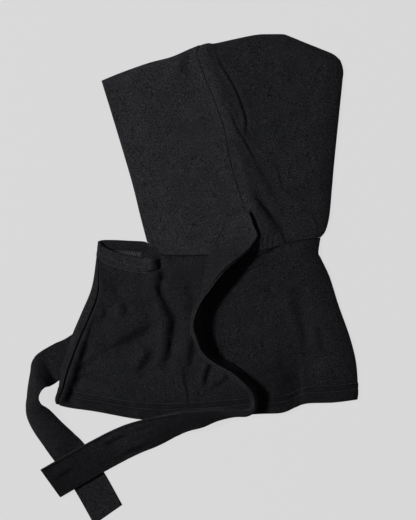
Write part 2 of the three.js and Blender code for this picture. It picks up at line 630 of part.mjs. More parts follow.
const jersey = { color: 0x1d1e22, roughness: 0.95, metalness: 0 };
function piece(name, rows, looped) {
  const mesh = new THREE.Mesh(clothSheet(rows, looped), new THREE.MeshStandardMaterial(jersey));
  mesh.name = name;
  return mesh;
}

const cap = new THREE.Group();
cap.add(piece("front_panel", frontPanel()));
cap.add(piece("back_panel_left", backPanel(false)));
cap.add(piece("back_panel_right", backPanel(true)));
cap.add(piece("cape", cape(), true));
cap.add(piece("tie_left", tie(leftSections, highestNear, foldedThickness)));
cap.add(piece("tie_right", tie(rightSections, () => -LAY_GAP, evenThickness)));

// The origin is under the middle of the cap, on the table
const box = new THREE.Box3().setFromObject(cap);
const centre = box.getCenter(new THREE.Vector3());
cap.position.set(-centre.x, -centre.y, -box.min.z);

export default cap;
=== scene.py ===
import bpy
import numpy as np
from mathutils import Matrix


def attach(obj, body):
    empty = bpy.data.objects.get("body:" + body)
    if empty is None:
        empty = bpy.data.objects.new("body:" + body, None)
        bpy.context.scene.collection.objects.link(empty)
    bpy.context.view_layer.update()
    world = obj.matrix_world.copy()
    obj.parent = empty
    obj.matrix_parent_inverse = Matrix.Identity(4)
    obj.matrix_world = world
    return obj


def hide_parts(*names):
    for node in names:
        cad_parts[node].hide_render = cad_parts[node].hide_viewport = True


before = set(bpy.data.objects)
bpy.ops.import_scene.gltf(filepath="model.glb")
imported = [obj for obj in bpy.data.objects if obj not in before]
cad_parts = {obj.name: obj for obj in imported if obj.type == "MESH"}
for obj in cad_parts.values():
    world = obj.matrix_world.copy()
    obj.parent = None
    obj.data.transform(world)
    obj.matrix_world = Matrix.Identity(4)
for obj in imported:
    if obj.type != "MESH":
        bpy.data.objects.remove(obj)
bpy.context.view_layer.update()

# Place of the plan's zero in the CAD frame, and the photograph's scale and middle
PLAN_AT = (-35.43, 27.22)
MM_PER_PIXEL = 1.1
PHOTO_WIDTH = 416
PHOTO_HEIGHT = 520
PHOTO_ZERO = (160, 254.5)

# Hood
FACE_HEIGHT = 190
BROW_REACH = 64
HOOD_DEPTH = 265
HOOD_HEIGHT = 240
NECK_WIDTH = 176
NAPE_RISE = 19
FAR_SLIP = 14
FAR_RISE = 13

# Cape
CHIN_REACH = 67
CHIN_RISE = 15
HEM_LEAD = 46
HEM_WIDTH = 329
CAPE_DROP = 181
HEM_DEPTH = 19
CHIN_BAND = 17
BAND_END = 3

# Front of the cape: the strip ahead of its seam, the gap between the two, the step up behind the seam and
# how soon it falls off again, the slit beside it, and below the chin the ridge of the seam
FRONT_STRIP = 13
FRONT_GAP = 0.35
FRONT_STEP = 2.8
ROLL_WIDTH = 6.5
SLIT_WIDTH = 2.5
SLIT_DEPTH = 5
SLIT_EDGE = 0.9
RIDGE_HEIGHT = 1.1
RIDGE_WIDTH = 2.2
RIDGE_SHARE = 0.3

# Sewing
STITCH_ROWS_APART = 6.6
HEM_ROWS = (HEM_DEPTH - STITCH_ROWS_APART, HEM_DEPTH)
BAND_ROWS = (CHIN_BAND - STITCH_ROWS_APART, CHIN_BAND)
STITCH = 2.6
STITCH_RADIUS = 0.25
STITCH_RISES = np.array([-0.12, 0.12, 0.12, -0.12])
LOOPER_RADIUS = 0.28
LOOPER_RISES = [0.05, 0.2, 0.2, 0.05]
THREAD_SIDES = 6
THREAD_TIP = 0.35
PINCH_WIDTH = 0.8
HEM_PINCH = 0.6
BAND_PINCH = 0.55
TURNED_EDGE = 0.8
ALLOWANCE = 10
ALLOWANCE_BAND = 7
BAND_THICKNESS = 0.9
BAND_CLEAR = 0.15

# Ties, with how far the left one's two plies part and the groove that shows between them
TIE_WIDTH = 37
LEFT_TIE_LENGTH = 498
RIGHT_TIE_LENGTH = 470
PLIES_APART = 1.6
PLIES_REACH = 3
PLY_ROUND = 0.45
GROOVE_DEPTH = 2
LEFT_LIFT = 0.4
DOWN_SHARE = 0.72
DOWN_FADE = 0.06
LEAST_LOFT = 1.8

# Cloth and how it lies
JERSEY = 1.2
PANEL_THICKNESS = 2.2
HEM_THICKNESS = 2.2
TIE_THICKNESS = 2.2
THINNEST_SHARE = 0.06
SEAM_GAP = 0.2
LAY_GAP = 0.35
LAYERS_APART = 0.2
BACK_EDGE = 0.3
TIE_CLEAR = 4
TIE_SLOPE = 10
BODY_LOFT = 12
EDGE_LOFT = 9
EDGE_REACH = 40
NEAR_ROUND = 22
FAR_ROUND = 5
FOLD_WIDTH = 10
FOLD_FADE = 0.75
CREASE_FADE = 0.85
CREASE_GAIN = 1.4
LOWEST_LOFT = 4.9
FOLD_LEVEL = TIE_THICKNESS + LAY_GAP + JERSEY / 2

# Soft unevenness of the upper layer: its height, its length and its seed
WAVES = 14
UNEVEN = [(0.45, 48, 3), (0.12, 15, 5)]

# Tone of the cloth, which lightens or darkens its colour: 0 for one layer and 1 for two. It also carries
# painted shade at the neck seam, along the stitched rows and in a hollow above the hem, and on the left tie a
# painted highlight near its root, painted shade further along and painted light and shade at its edges. A
# tie's rows are the distance from its root and the tone there.
TONE_GAIN = 0.42
FRONT_TONE = 1
ALLOWANCE_TONE = 0.6
CAPE_TONE = -0.3
BAND_TONE = 0.9
HEM_TONE = -0.4
# Painted shade in the pinched grooves of the stitched rows
STITCH_SHADE_TONE = -0.9
# Painted shade in the gap of the neck seam, as a dark line between hood and cape
SEAM_SHADE_TONE = -1.3
SEAM_SHADE_WIDTH = 1.3
# Painted shade in a hollow above the hem towards the back, where the cloth turns out of the light
HOLLOW_SHADE_TONE = -0.7
HOLLOW_AT = (130, -132)
HOLLOW_REACH = 26
# The left tie's tones are painted light and shade: a painted highlight on the lit leaf near its root and
# painted shade further along
LEFT_TIE_LIGHT_AND_SHADE = [
    (0, 1.6), (28, 1.2), (50, 0.1), (70, -0.2), (110, -0.3), (160, -0.6), (300, -1), (360, -0.9), (400, -0.5),
    (440, -0.8), (498, -1.3),
]
RIGHT_TIE_TONES = [(0, -0.5), (400, -0.5), (450, -0.1)]
# Painted light and shade at the left tie's edges: a painted contact shadow along one edge near the root,
# fading out further along, and a painted highlight on the raised edge with painted shade just inside it
LEFT_EDGE_LIGHT_AND_SHADE = 1.2
EDGE_SHADOW_END = 95
EDGE_SHADOW_FADE = 20

# Looks: a ramp's rows are its places and colours
CLOTH_FINISH = {
    "Roughness": 0.88, "Specular IOR Level": 0.06,
    "Sheen Weight": 0.02, "Sheen Roughness": 0.5, "Sheen Tint": (0.55, 0.6, 0.72, 1),
}
CLOTH_TONES = [
    (0.445, (0.0011, 0.0011, 0.0016, 1)),
    (0.515, (0.0063, 0.0064, 0.0077, 1)),
    (0.59, (0.0345, 0.0348, 0.0385, 1)),
]
FIBRES = {"Scale": 1300, "Detail": 4, "Roughness": 0.7}
PATCHES = {"Scale": 55, "Detail": 3}
PATCH_GAIN = 0.05
KNIT_SCALE = (1000, 1000, 1000)
WALES = {"Scale": 0.35, "Distortion": 0.8, "Detail": 1}
LOOPS = {"Scale": 0.42, "Distortion": 1.2}
LOOP_GAIN = 0.6
FUZZ_GAIN = 1.6
RELIEF = {"Strength": 0.35, "Distance": 0.0003}
THREAD_FINISH = {"Roughness": 0.7, "Specular IOR Level": 0.1}
THREAD_TONES = [(0.35, (0.024, 0.025, 0.029, 1)), (0.7, (0.16, 0.164, 0.185, 1))]
TWIST = {"Scale": 900}

# Floor, light and camera, in metres
FLOOR_REACH = 3
FLOOR_LEVEL = -0.0002
PAPER_FINISH = {
    "Base Color": (0.03, 0.03, 0.03, 1), "Roughness": 0.9, "Specular IOR Level": 0.1,
    "Emission Color": (1, 1, 1, 1), "Emission Strength": 0.668,
}
KEY_AT = (-1.58, 0.28, 2.05)
KEY_SIZE = 0.4
KEY_ENERGY = 60
KEY_COLOUR = (1, 0.99, 0.975)
SKY = {"Color": (0.9, 0.94, 1, 1), "Strength": 0.1}
CAMERA_HEIGHT = 3
SENSOR_WIDTH = 36

# Mesh steps
CELL = 1.3
FAR_CELL = 4
TIE_STEP = 1.5
TIE_STRIPS = 30
BAND_STEP = 3
BAND_STRIPS = 8
OUTLINE_STEPS = 110
RIM = [0, 0.12, 0.4, 0.9]
STEP_RIM = [0, 0.6, 1.4]
BEND_ANGLES = np.array([0, 0.02, 0.05, 0.1, 0.18, 0.28, 0.4, 0.55, 0.72, 0.92, 1.15, 1.4])
PINCH_STEPS = [-1.2, -0.6, 0, 0.6, 1.2]
PINCH_CLEAR = 0.7
STRIP_COLUMNS = np.array([
    0, 0.004, 0.015, 0.04, 0.08, 0.15, 0.25, 0.37, 0.5, 0.6, 0.68, 0.74, 0.79, 0.83, 0.87, 0.91, 0.95, 1,
])
RASTER_STEP = 2
RASTER_REACH = 3
RASTER_X = (-160, 230)
RASTER_Y = (-300, 250)
ALL_EDGES = [(0, 0), (0, 1), (1, 0), (1, 1)]
ENDS = [(0, 0), (0, 1)]


def smooth(x):
    x = np.clip(x, 0, 1)
    return x * x * (3 - 2 * x)


def mix(a, b, t):
    return a + (b - a) * t


def unit(vectors):
    return vectors / np.maximum(np.linalg.norm(vectors, axis=-1, keepdims=True), 1e-12)


# Distance of points from the first one, along them
def run(points, axis=0):
    along = np.cumsum(np.linalg.norm(np.diff(points, axis=axis), axis=-1), axis=axis)
    return np.concatenate([np.zeros_like(np.take(along, [0], axis=axis)), along], axis=axis)


# Fine steps between rows of values: the share of the way, and the two rows before and after
def spans(rows, fine):
    ends = np.vstack([rows[:1], rows, rows[-1:]])
    place = np.linspace(0, len(rows) - 1, fine * (len(rows) - 1) + 1)
    i = np.minimum(place.astype(int), len(rows) - 2)
    return [(place - i)[:, None], *(ends[i + k] for k in range(4))]


# Curves in the plan, with points found by their share of the length
class Curve:
    def __init__(self, points, fine=60):
        t, a, b, c, d = spans(np.array(points, float), fine)
        leave = (c - a) / 2
        arrive = (d - b) / 2
        cubic = 2 * b - 2 * c + leave + arrive
        square = 3 * c - 3 * b - 2 * leave - arrive
        self.take(((cubic * t + square) * t + leave) * t + b)

    def take(self, fine):
        self.fine = fine
        self.along = run(fine)
        self.length = self.along[-1]
        return self

    def at(self, share):
        along = np.asarray(share, float) * self.length
        return np.stack([np.interp(along, self.along, self.fine[:, k]) for k in (0, 1)], -1)

    def part(self, start, end):
        return Curve.__new__(Curve).take(self.at(np.linspace(start, end, 400)))

    def back(self):
        return Curve.__new__(Curve).take(self.fine[::-1].copy())

    def then(self, other):
        return Curve.__new__(Curve).take(np.vstack([self.fine, other.fine[1:]]))


def edge(start, end, rows):
    start = np.array(start, float)
    along = np.array(end, float) - start
    left = np.array([-along[1], along[0]])
    inner = [start + along * share + left * bow for share, bow in rows]
    return Curve([start, *inner, end])


# Corners of the outline
NECK_FRONT = (0, 0)
NAPE = (NECK_WIDTH, NAPE_RISE)
BROW = (-BROW_REACH, FACE_HEIGHT)
SEAM_TOP = (BROW[0] + 0.408 * HOOD_DEPTH, 0.956 * HOOD_HEIGHT)
CROWN_BACK = (BROW[0] + 0.988 * HOOD_DEPTH, 0.888 * HOOD_HEIGHT)
FAR_NECK_FRONT = (-FAR_SLIP, FAR_RISE)
CHIN = (-CHIN_REACH, CHIN_RISE)
HEM_FRONT = (CHIN[0] - HEM_LEAD, -0.908 * CAPE_DROP)
HEM_BACK = (HEM_FRONT[0] + HEM_WIDTH, -0.881 * CAPE_DROP)
NEAR_FOOT_SHARE = 0.565
FAR_FOOT_SHARE = 0.597
TIE_ROOT_SHARE = 0.197

# Edges, with each row's share along and its bow to the left
crown_fold = edge(BROW, SEAM_TOP, [(0.21, 0.008), (0.484, 0.005), (0.7, -0.015), (0.886, -0.005)])
crown_seam = edge(SEAM_TOP, CROWN_BACK, [
    (0.055, 0.021), (0.105, 0.025), (0.271, 0.08), (0.392, 0.117), (0.487, 0.131),
    (0.579, 0.14), (0.616, 0.133), (0.716, 0.104), (0.857, 0.064), (0.947, 0.037),
])
back_seam = edge(NAPE, CROWN_BACK, [
    (0.04, -0.024), (0.129, -0.036), (0.286, -0.033), (0.463, -0.029), (0.865, -0.025), (0.944, -0.023),
])
face_near = edge(NECK_FRONT, BROW, [(0.267, 0.005), (0.438, 0.007), (0.708, 0.006)])
face_far = edge(FAR_NECK_FRONT, BROW, [(0.168, -0.003), (0.382, -0.01), (0.706, -0.006)])
neck_near = edge(NECK_FRONT, NAPE, [
    (0.153, -0.021), (0.313, -0.035), (0.493, -0.051), (0.586, -0.048), (0.726, -0.026), (0.815, -0.009),
])
neck_far = edge(FAR_NECK_FRONT, NAPE, [(0.129, -0.025), (0.302, -0.042), (0.533, -0.05), (0.765, -0.035)])
chin_near = edge(CHIN, NECK_FRONT, [
    (0.091, -0.066), (0.206, -0.096), (0.385, -0.122), (0.623, -0.123), (0.833, -0.089),
])
chin_far = edge(CHIN, FAR_NECK_FRONT, [(0.089, 0.024), (0.322, 0.034), (0.641, 0.03), (0.925, 0.026)])
cape_front = edge(CHIN, HEM_FRONT, [
    (0.103, 0.013), (0.279, 0.03), (0.444, 0.008), (0.577, -0.012),
    (0.74, -0.024), (0.825, -0.023), (0.908, -0.013), (0.972, -0.014),
])
cape_back = edge(NAPE, HEM_BACK, [
    (0.088, -0.033), (0.125, -0.026), (0.248, 0.001), (0.422, 0.016),
    (0.609, 0.039), (0.748, 0.045), (0.853, 0.035), (0.957, 0.015),
])
hem_near = edge(HEM_FRONT, HEM_BACK, [
    (0.04, -0.012), (0.133, -0.027), (0.272, -0.054), (0.377, -0.059), (0.511, -0.055), (0.661, -0.043),
    (0.748, -0.04), (0.795, -0.023), (0.835, -0.01), (0.923, -0.008),
])
hem_far = edge(HEM_FRONT, HEM_BACK, [
    (0.133, -0.021), (0.272, -0.046), (0.377, -0.051), (0.511, -0.047), (0.661, -0.036), (0.835, -0.01),
])
PANEL_ROWS = [
    (0.107, -0.009), (0.197, -0.017), (0.233, -0.018), (0.318, -0.014), (0.436, -0.009),
    (0.57, -0.017), (0.679, -0.01), (0.793, 0.004), (0.896, 0.018), (0.962, 0.024),
]
panel_near = edge(neck_near.at(NEAR_FOOT_SHARE), SEAM_TOP, PANEL_ROWS)
panel_far = edge(neck_far.at(FAR_FOOT_SHARE), SEAM_TOP, PANEL_ROWS)
TIE_ROOT = panel_near.at(TIE_ROOT_SHARE)

# How wide the strip ahead of the centre front seam is, as a share of FRONT_STRIP down the cape
FRONT_SEAM = np.array([(0, 0.2), (0.13, 0.55), (0.3, 1), (0.5, 0.98), (0.72, 0.78), (0.83, 0.63), (1, 0.3)])

# Folds of the upper layer. Each has its height as a share of BODY_LOFT, negative in a valley, its widths
# towards the face and the back in FOLD_WIDTH, and its path as shares across and up, or down.
HOOD_FOLDS = [
    ("seam_ridge", 0.2, 0.9, 1, [
        (0.423, 0.914), (0.502, 0.685), (0.56, 0.548), (0.602, 0.387), (0.627, 0.273)]),
    ("crown_pleat", 0.14, 1.4, 1.2, [(0.47, 0.942), (0.528, 0.804), (0.588, 0.662), (0.594, 0.561)]),
    ("tie_hump", 0.25, 0.8, 0.7, [(0.598, 0.296), (0.64, 0.218), (0.682, 0.131), (0.698, 0.076)]),
    ("front_hollow", -0.22, 1.2, 0.6, [(0.349, 0.919), (0.387, 0.818), (0.42, 0.717)]),
]
CAPE_FOLDS = [
    ("front_valley", -0.16, 0.9, 0.9, [
        (0.336, 0.119), (0.352, 0.24), (0.372, 0.325), (0.389, 0.386), (0.384, 0.453), (0.376, 0.55)]),
    ("pleat_ridge", 0.2, 2, 1.4, [(0.71, 0.62), (0.72, 0.75), (0.715, 0.92)]),
    ("front_ridge", 0.25, 0.8, 0.9, [
        (0.359, 0.204), (0.399, 0.325), (0.416, 0.465), (0.406, 0.611), (0.392, 0.763)]),
    ("back_soft", -0.2, 1.2, 1.4, [(0.776, 0.277), (0.799, 0.459), (0.826, 0.653)]),
    ("back_ridge", 0.14, 0.8, 0.9, [(0.769, 0.185), (0.786, 0.368), (0.796, 0.55)]),
    ("hem_pleat", -0.42, 1.6, 0.16, [(0.809, 0.714), (0.814, 0.799), (0.812, 0.951)]),
]

# Creases of the upper layer, where it steps down: the slope there, how far it reaches on its high and its
# low side in FOLD_WIDTH, and its path, with the high side on the right of the way along it.
HOOD_CREASES = [
    ("crown_top", 0.9, 0.2, 0.22, [(0.462, 0.96), (0.474, 0.914), (0.499, 0.855), (0.536, 0.786)]),
    ("crown_line", 1.2, 0.24, 0.26, [
        (0.515, 0.823), (0.545, 0.768), (0.569, 0.708), (0.586, 0.653), (0.596, 0.607), (0.594, 0.557)]),
    ("lower_line", 0.85, 0.22, 0.24, [
        (0.528, 0.658), (0.545, 0.607), (0.565, 0.561), (0.586, 0.525), (0.607, 0.484), (0.628, 0.442)]),
    ("lower_fade", 0.3, 0.5, 0.6, [(0.623, 0.451), (0.652, 0.387), (0.682, 0.323), (0.715, 0.254)]),
    ("hook", 0.8, 0.16, 0.18, [(0.532, 0.658), (0.52, 0.683), (0.503, 0.69), (0.486, 0.681)]),
    ("tie_slope", 0.5, 0.8, 0.6, [
        (0.623, 0.264), (0.652, 0.236), (0.682, 0.195), (0.715, 0.149), (0.744, 0.103), (0.769, 0.057)]),
    ("tie_slope_line", 0.4, 0.2, 0.3, [(0.628, 0.254), (0.652, 0.236), (0.686, 0.19), (0.719, 0.144)]),
    ("gather_1", 0.8, 0.16, 0.16, [(0.669, 0.08), (0.665, 0.057), (0.669, 0.03)]),
    ("gather_2", 0.8, 0.16, 0.16, [(0.69, 0.089), (0.686, 0.062), (0.686, 0.03)]),
    ("gather_3", 0.7, 0.16, 0.16, [(0.711, 0.085), (0.706, 0.057), (0.711, 0.034)]),
    ("gather_4", 0.5, 0.2, 0.2, [(0.744, 0.099), (0.752, 0.071), (0.765, 0.048)]),
    ("back_line", 0.4, 0.22, 0.3, [(0.719, 0.415), (0.735, 0.355), (0.744, 0.296)]),
    ("back_soft", 0.25, 0.3, 0.4, [(0.765, 0.286), (0.81, 0.25), (0.843, 0.204)]),
    ("nape_line", 0.45, 0.25, 0.3, [(0.868, 0.19), (0.885, 0.149), (0.897, 0.108)]),
    ("crown_spot", 0.35, 0.4, 0.4, [(0.914, 0.864), (0.897, 0.836), (0.877, 0.818)]),
    ("crown_soft", 0.22, 0.4, 0.6, [(0.897, 0.8), (0.872, 0.759), (0.839, 0.722)]),
    ("brow_smudge", 0.35, 0.8, 0.8, [(0.37, 0.914), (0.341, 0.878), (0.32, 0.836)]),
    ("tie_side", 1, 0.16, 0.16, [
        (0.584, 0.195), (0.55, 0.172), (0.513, 0.131), (0.488, 0.085), (0.467, 0.039)]),
    ("tie_end", 1.1, 0.2, 0.25, [(0.611, 0.197), (0.625, 0.154), (0.642, 0.108), (0.65, 0.08)]),
]
CAPE_CREASES = [
    ("chin_drop", 0.9, 1.1, 0.5, [(0.338, 0.021), (0.338, 0.058), (0.34, 0.094)]),
    ("chin_pocket", 0.6, 1.5, 0.6, [(0.343, 0.1), (0.348, 0.131), (0.345, 0.161)]),
    ("valley_neck", 0.6, 0.7, 0.65, [(0.343, 0.149), (0.335, 0.198), (0.347, 0.252), (0.362, 0.313)]),
    ("valley_middle", 0.8, 1, 0.95, [
        (0.353, 0.283), (0.37, 0.343), (0.384, 0.392), (0.382, 0.447), (0.377, 0.507)]),
    ("valley_low", 0.6, 0.85, 0.8, [
        (0.379, 0.477), (0.374, 0.538), (0.37, 0.593), (0.36, 0.635), (0.343, 0.665)]),
    ("ridge_side", 0.25, 0.8, 0.8, [(0.43, 0.173), (0.444, 0.264), (0.444, 0.362)]),
    ("strap_line", 0.5, 0.6, 0.6, [(0.457, 0.483), (0.45, 0.55), (0.445, 0.617), (0.439, 0.69)]),
    ("hem_line", 0.6, 0.3, 0.3, [
        (0.419, 0.69), (0.425, 0.751), (0.43, 0.811), (0.437, 0.86), (0.435, 0.909)]),
    ("chest_side", 0.35, 1, 1, [(0.166, 0.131), (0.186, 0.216), (0.21, 0.277)]),
    ("chest_spot", 0.4, 0.8, 0.7, [(0.22, 0.289), (0.225, 0.331), (0.216, 0.38)]),
    ("chest_dot", 0.5, 0.5, 0.5, [(0.156, 0.325), (0.158, 0.356), (0.153, 0.386)]),
    ("chest_diagonal", 0.6, 1.1, 1, [
        (0.317, 0.416), (0.283, 0.459), (0.253, 0.492), (0.223, 0.52), (0.186, 0.556)]),
    ("chest_tail", 0.35, 0.25, 0.25, [(0.216, 0.532), (0.196, 0.547), (0.173, 0.562)]),
    ("lower_diagonal", 0.6, 0.8, 0.8, [(0.315, 0.568), (0.3, 0.623), (0.282, 0.672), (0.26, 0.72)]),
    ("side_line", 0.55, 0.35, 0.4, [(0.126, 0.711), (0.099, 0.726), (0.069, 0.744)]),
    ("side_soft", 0.3, 0.55, 0.55, [(0.126, 0.617), (0.103, 0.653), (0.076, 0.678)]),
    ("pull_1", 0.7, 0.16, 0.16, [(0.384, 0.018), (0.364, 0.043), (0.343, 0.07)]),
    ("pull_2", 0.7, 0.16, 0.16, [(0.397, 0.033), (0.37, 0.061), (0.347, 0.094)]),
    ("under_tie_side", 0.7, 0.5, 0.5, [(0.516, 0.641), (0.502, 0.696), (0.494, 0.751), (0.491, 0.811)]),
    ("under_tie_hem", 0.5, 0.45, 0.5, [(0.574, 0.702), (0.561, 0.751), (0.527, 0.79), (0.491, 0.823)]),
    ("under_tie_soft", 0.35, 0.3, 0.3, [(0.557, 0.802), (0.521, 0.83), (0.481, 0.86)]),
    ("neck_crease", 0.8, 0.25, 0.25, [(0.686, 0.052), (0.668, 0.073), (0.641, 0.086), (0.611, 0.082)]),
    ("nape_tuck", 1, 0.16, 0.45, [(0.741, -0.055), (0.705, -0.027), (0.664, 0.003)]),
    ("back_line", 0.3, 0.7, 0.7, [(0.805, 0.386), (0.818, 0.477), (0.825, 0.58)]),
    ("back_dent", 0.35, 0.5, 0.6, [(0.862, 0.422), (0.872, 0.495), (0.882, 0.58)]),
    ("back_wide", 0.2, 1.1, 1.1, [(0.781, 0.185), (0.795, 0.295), (0.808, 0.398)]),
    ("front_roll_top", 0.45, 0.3, 0.3, [(0.116, 0.398), (0.104, 0.477), (0.093, 0.55)]),
    ("front_roll", 0.7, 0.65, 0.65, [(0.098, 0.52), (0.083, 0.599), (0.069, 0.678)]),
    ("front_roll_low", 0.75, 0.9, 0.9, [(0.074, 0.653), (0.061, 0.732), (0.046, 0.805)]),
    ("front_corner", 1, 0.8, 0.8, [(0.049, 0.793), (0.034, 0.848), (0.022, 0.896)]),
]
LEFT_TIE_CREASES = [
    ("ridge", 1.3, 0.35, 0.35, [(0.43, 1.06), (0.377, 1.036), (0.317, 1.03), (0.263, 1.06)]),
    ("fold", 1.1, 0.4, 0.45, [(0.44, 0.951), (0.407, 0.988), (0.364, 1.012)]),
    ("upper_band", 0.9, 0.35, 0.4, [(0.23, 1.085), (0.193, 1.115), (0.16, 1.146)]),
    ("middle_band", 0.8, 0.4, 0.45, [(0.31, 1.133), (0.257, 1.176), (0.21, 1.212)]),
    ("end_band", 0.6, 0.5, 0.5, [(0.056, 1.285), (0.029, 1.316), (-0.004, 1.352)]),
]

# Ties, a row for each section: its middle from the tie's root in HEM_WIDTH and CAPE_DROP, the way across
# it, its tip about its length, its curl, all in degrees, and its width in TIE_WIDTH
LEFT_TIE = [
    ("root", 0.001, 0.005, -5, 0, 0, 0.2),
    ("spread", -0.007, 0.062, -18, 0, 0, 0.62),
    ("flat", -0.016, 0.14, -10, 0, 0, 1),
    ("lift", -0.042, 0.214, -12, 16, 10, 1),
    ("rise", -0.084, 0.294, -30, 44, -20, 0.92),
    ("steep", -0.111, 0.386, -30, 62, -25, 0.8),
    ("upright", -0.128, 0.463, -18, 76, -10, 0.68),
    ("lean", -0.145, 0.536, -2, 94, 10, 0.66),
    ("lean_more", -0.157, 0.618, -1, 108, 25, 0.7),
    ("kink", -0.161, 0.7, -4, 113, 30, 0.74),
    ("past_kink", -0.152, 0.767, -2, 112, 25, 0.74),
    ("bend", -0.134, 0.851, 12, 109, 20, 0.72),
    ("second_bend", -0.096, 0.91, 45, 107, 10, 0.72),
    ("wall_start", -0.046, 0.96, 56, 107, 5, 0.72),
    ("wall", -0.007, 1.018, 49, 107, 5, 0.7),
    ("wall_end", 0.019, 1.072, 34, 106, 5, 0.6),
    ("corner_start", 0.029, 1.12, 9, 105, 5, 0.48),
    ("corner", 0.031, 1.169, -20, 106, 5, 0.4),
    ("corner_end", 0.024, 1.203, -42, 108, 5, 0.4),
    ("hem_start", 0.002, 1.222, -70, 110, 10, 0.44),
    ("hem", -0.032, 1.221, -82, 110, 15, 0.52),
    ("hem_end", -0.093, 1.229, -80, 122, 15, 0.66),
    ("fall_start", -0.151, 1.256, -75, 130, 10, 0.8),
    ("fall", -0.197, 1.27, -72, 131, -10, 0.9),
    ("fall_end", -0.243, 1.296, -71, 136, -40, 0.97),
    ("floor_start", -0.301, 1.335, -70, 150, -60, 1),
    ("floor", -0.389, 1.395, -65, 165, -45, 1),
    ("crossing", -0.491, 1.488, -62, 168, -30, 1),
    ("end", -0.644, 1.649, -55, 172, -10, 1),
]
RIGHT_TIE = [
    ("root", 0.001, 0.005, -5, 0, 0, 0.2),
    ("spread", -0.02, 0.061, -27, 0, 0, 0.62),
    ("hidden_start", -0.067, 0.176, -43, 0, 0, 1),
    ("hidden_upper", -0.153, 0.31, -52, 0, 0, 1),
    ("hidden_middle", -0.27, 0.462, -54, 0, 0, 1),
    ("hidden_lower", -0.403, 0.638, -54, 0, 0, 1),
    ("hidden_end", -0.5, 0.773, -58, 0, 0, 1),
    ("edge", -0.565, 0.861, -62, 0, 0, 1),
    ("out", -0.608, 0.898, -61, 0, 0, 1),
    ("climb", -0.652, 0.944, -61, 0, 0, 1),
    ("crest_start", -0.675, 0.981, -53, 14, 65, 1),
    ("crest", -0.689, 1.029, -38, 48, 120, 1),
    ("crest_end", -0.699, 1.078, -21, 72, 145, 1),
    ("turn", -0.704, 1.125, -5, 82, 155, 1),
    ("down_start", -0.702, 1.176, 10, 64, 150, 1),
    ("down", -0.688, 1.231, 23, 30, 130, 1),
    ("down_end", -0.659, 1.308, 22, 14, 105, 1),
    ("floor_start", -0.62, 1.393, 25, 5, 65, 1),
    ("crossing", -0.58, 1.483, 31, 0, 0, 1),
    ("floor", -0.519, 1.644, 33, 0, 0, 1),
    ("end", -0.462, 1.828, 35, 0, 0, 1),
]


# Distance of points to a line, and where the nearest place is: its share of the line, its x and the side
def to_line(points, line):
    found = np.outer([np.inf, 0, 0, 0], np.ones(len(points)))
    for k in range(len(line) - 1):
        way = line[k + 1] - line[k]
        reach = points - line[k]
        t = np.clip(reach @ way / max(way @ way, 1e-12), 0, 1)
        distance = np.hypot(reach[:, 0] - t * way[0], reach[:, 1] - t * way[1])
        side = np.sign(way[1] * reach[:, 0] - way[0] * reach[:, 1])
        here = [distance, (k + t) / (len(line) - 1), line[k, 0] + t * way[0], side]
        found = np.where(distance < found[0], here, found)
    return found


def to_edges(points, edges):
    return np.min([to_line(points, line)[0] for line in edges], axis=0)


# Values of a function of points, on a grid of them
def on_grid(plan, function, *more):
    return function(plan.reshape(-1, 2), *more).reshape(plan.shape[:2])


def trace(curve, count=OUTLINE_STEPS):
    return curve.at(np.linspace(0, 1, count + 1))


back_edges = [trace(curve) for curve in (crown_seam, back_seam)]
closed_edges = [trace(crown_fold), *back_edges, trace(cape_back), trace(cape_front)]
open_edges = [trace(curve, 40) for curve in (face_near, chin_near, hem_near)]


def rounded(distance, radius):
    return np.sqrt(1 - (1 - np.clip(distance / radius, 0, 1)) ** 2)


# Folds or creases with their paths in the plan
def placed(folds, origin, across, up):
    made = []
    for _, height, ahead, behind, path in folds:
        line = Curve([(origin + x * across, y * up) for x, y in path], 12)
        made.append((height, ahead, behind, trace(line, 16)))
    return made


folds = placed(HOOD_FOLDS, BROW[0], HOOD_DEPTH, HOOD_HEIGHT)
folds += placed(CAPE_FOLDS, HEM_FRONT[0], HEM_WIDTH, -CAPE_DROP)
creases = placed(HOOD_CREASES, BROW[0], HOOD_DEPTH, HOOD_HEIGHT)
creases += placed(CAPE_CREASES, HEM_FRONT[0], HEM_WIDTH, -CAPE_DROP)
tie_creases = placed(LEFT_TIE_CREASES, HEM_FRONT[0], HEM_WIDTH, -CAPE_DROP)


def faded(share, fade):
    return 1 - fade * (2 * share - 1) ** 4


def fold_height(points):
    total = np.zeros(len(points))
    for height, ahead, behind, line in folds:
        distance, share, at_x, _ = to_line(points, line)
        width = FOLD_WIDTH * np.where(points[:, 0] < at_x, ahead, behind)
        total += height * faded(share, FOLD_FADE) * np.exp(-((distance / width) ** 2))
    return BODY_LOFT * total


def crease_height(points, lines):
    total = np.zeros(len(points))
    for slope, high, low, line in lines:
        distance, share, _, side = to_line(points, line)
        width = FOLD_WIDTH * np.where(side > 0, high, low)
        step = slope * faded(share, CREASE_FADE) * side * distance
        total += CREASE_GAIN * step * np.exp(-((distance / width) ** 2))
    return total


# Waves of random way and phase, from half to twice the given length
def unevenness(points, length, seed):
    random = np.random.default_rng(seed)
    total = np.zeros(len(points))
    for _ in range(WAVES):
        angle = random.uniform(0, np.pi)
        wave = 2 * np.pi / (length * random.uniform(0.5, 2))
        phase = random.uniform(0, 2 * np.pi)
        total += np.sin(wave * (points @ [np.cos(angle), np.sin(angle)]) + phase)
    return total / WAVES ** 0.5


# Height of the upper layer, with its loft, folds and creases, and of the lower one over the right tie
def near_height(points):
    inward = smooth(to_edges(points, open_edges) / EDGE_REACH)
    uneven = sum(height * unevenness(points, length, seed) for height, length, seed in UNEVEN)
    loft = mix(EDGE_LOFT, BODY_LOFT, inward) + fold_height(points) + crease_height(points, creases) + uneven
    loft = LOWEST_LOFT + np.logaddexp(0, 2 * (loft - LOWEST_LOFT)) / 2
    return mix(FOLD_LEVEL, loft, rounded(to_edges(points, closed_edges), NEAR_ROUND))


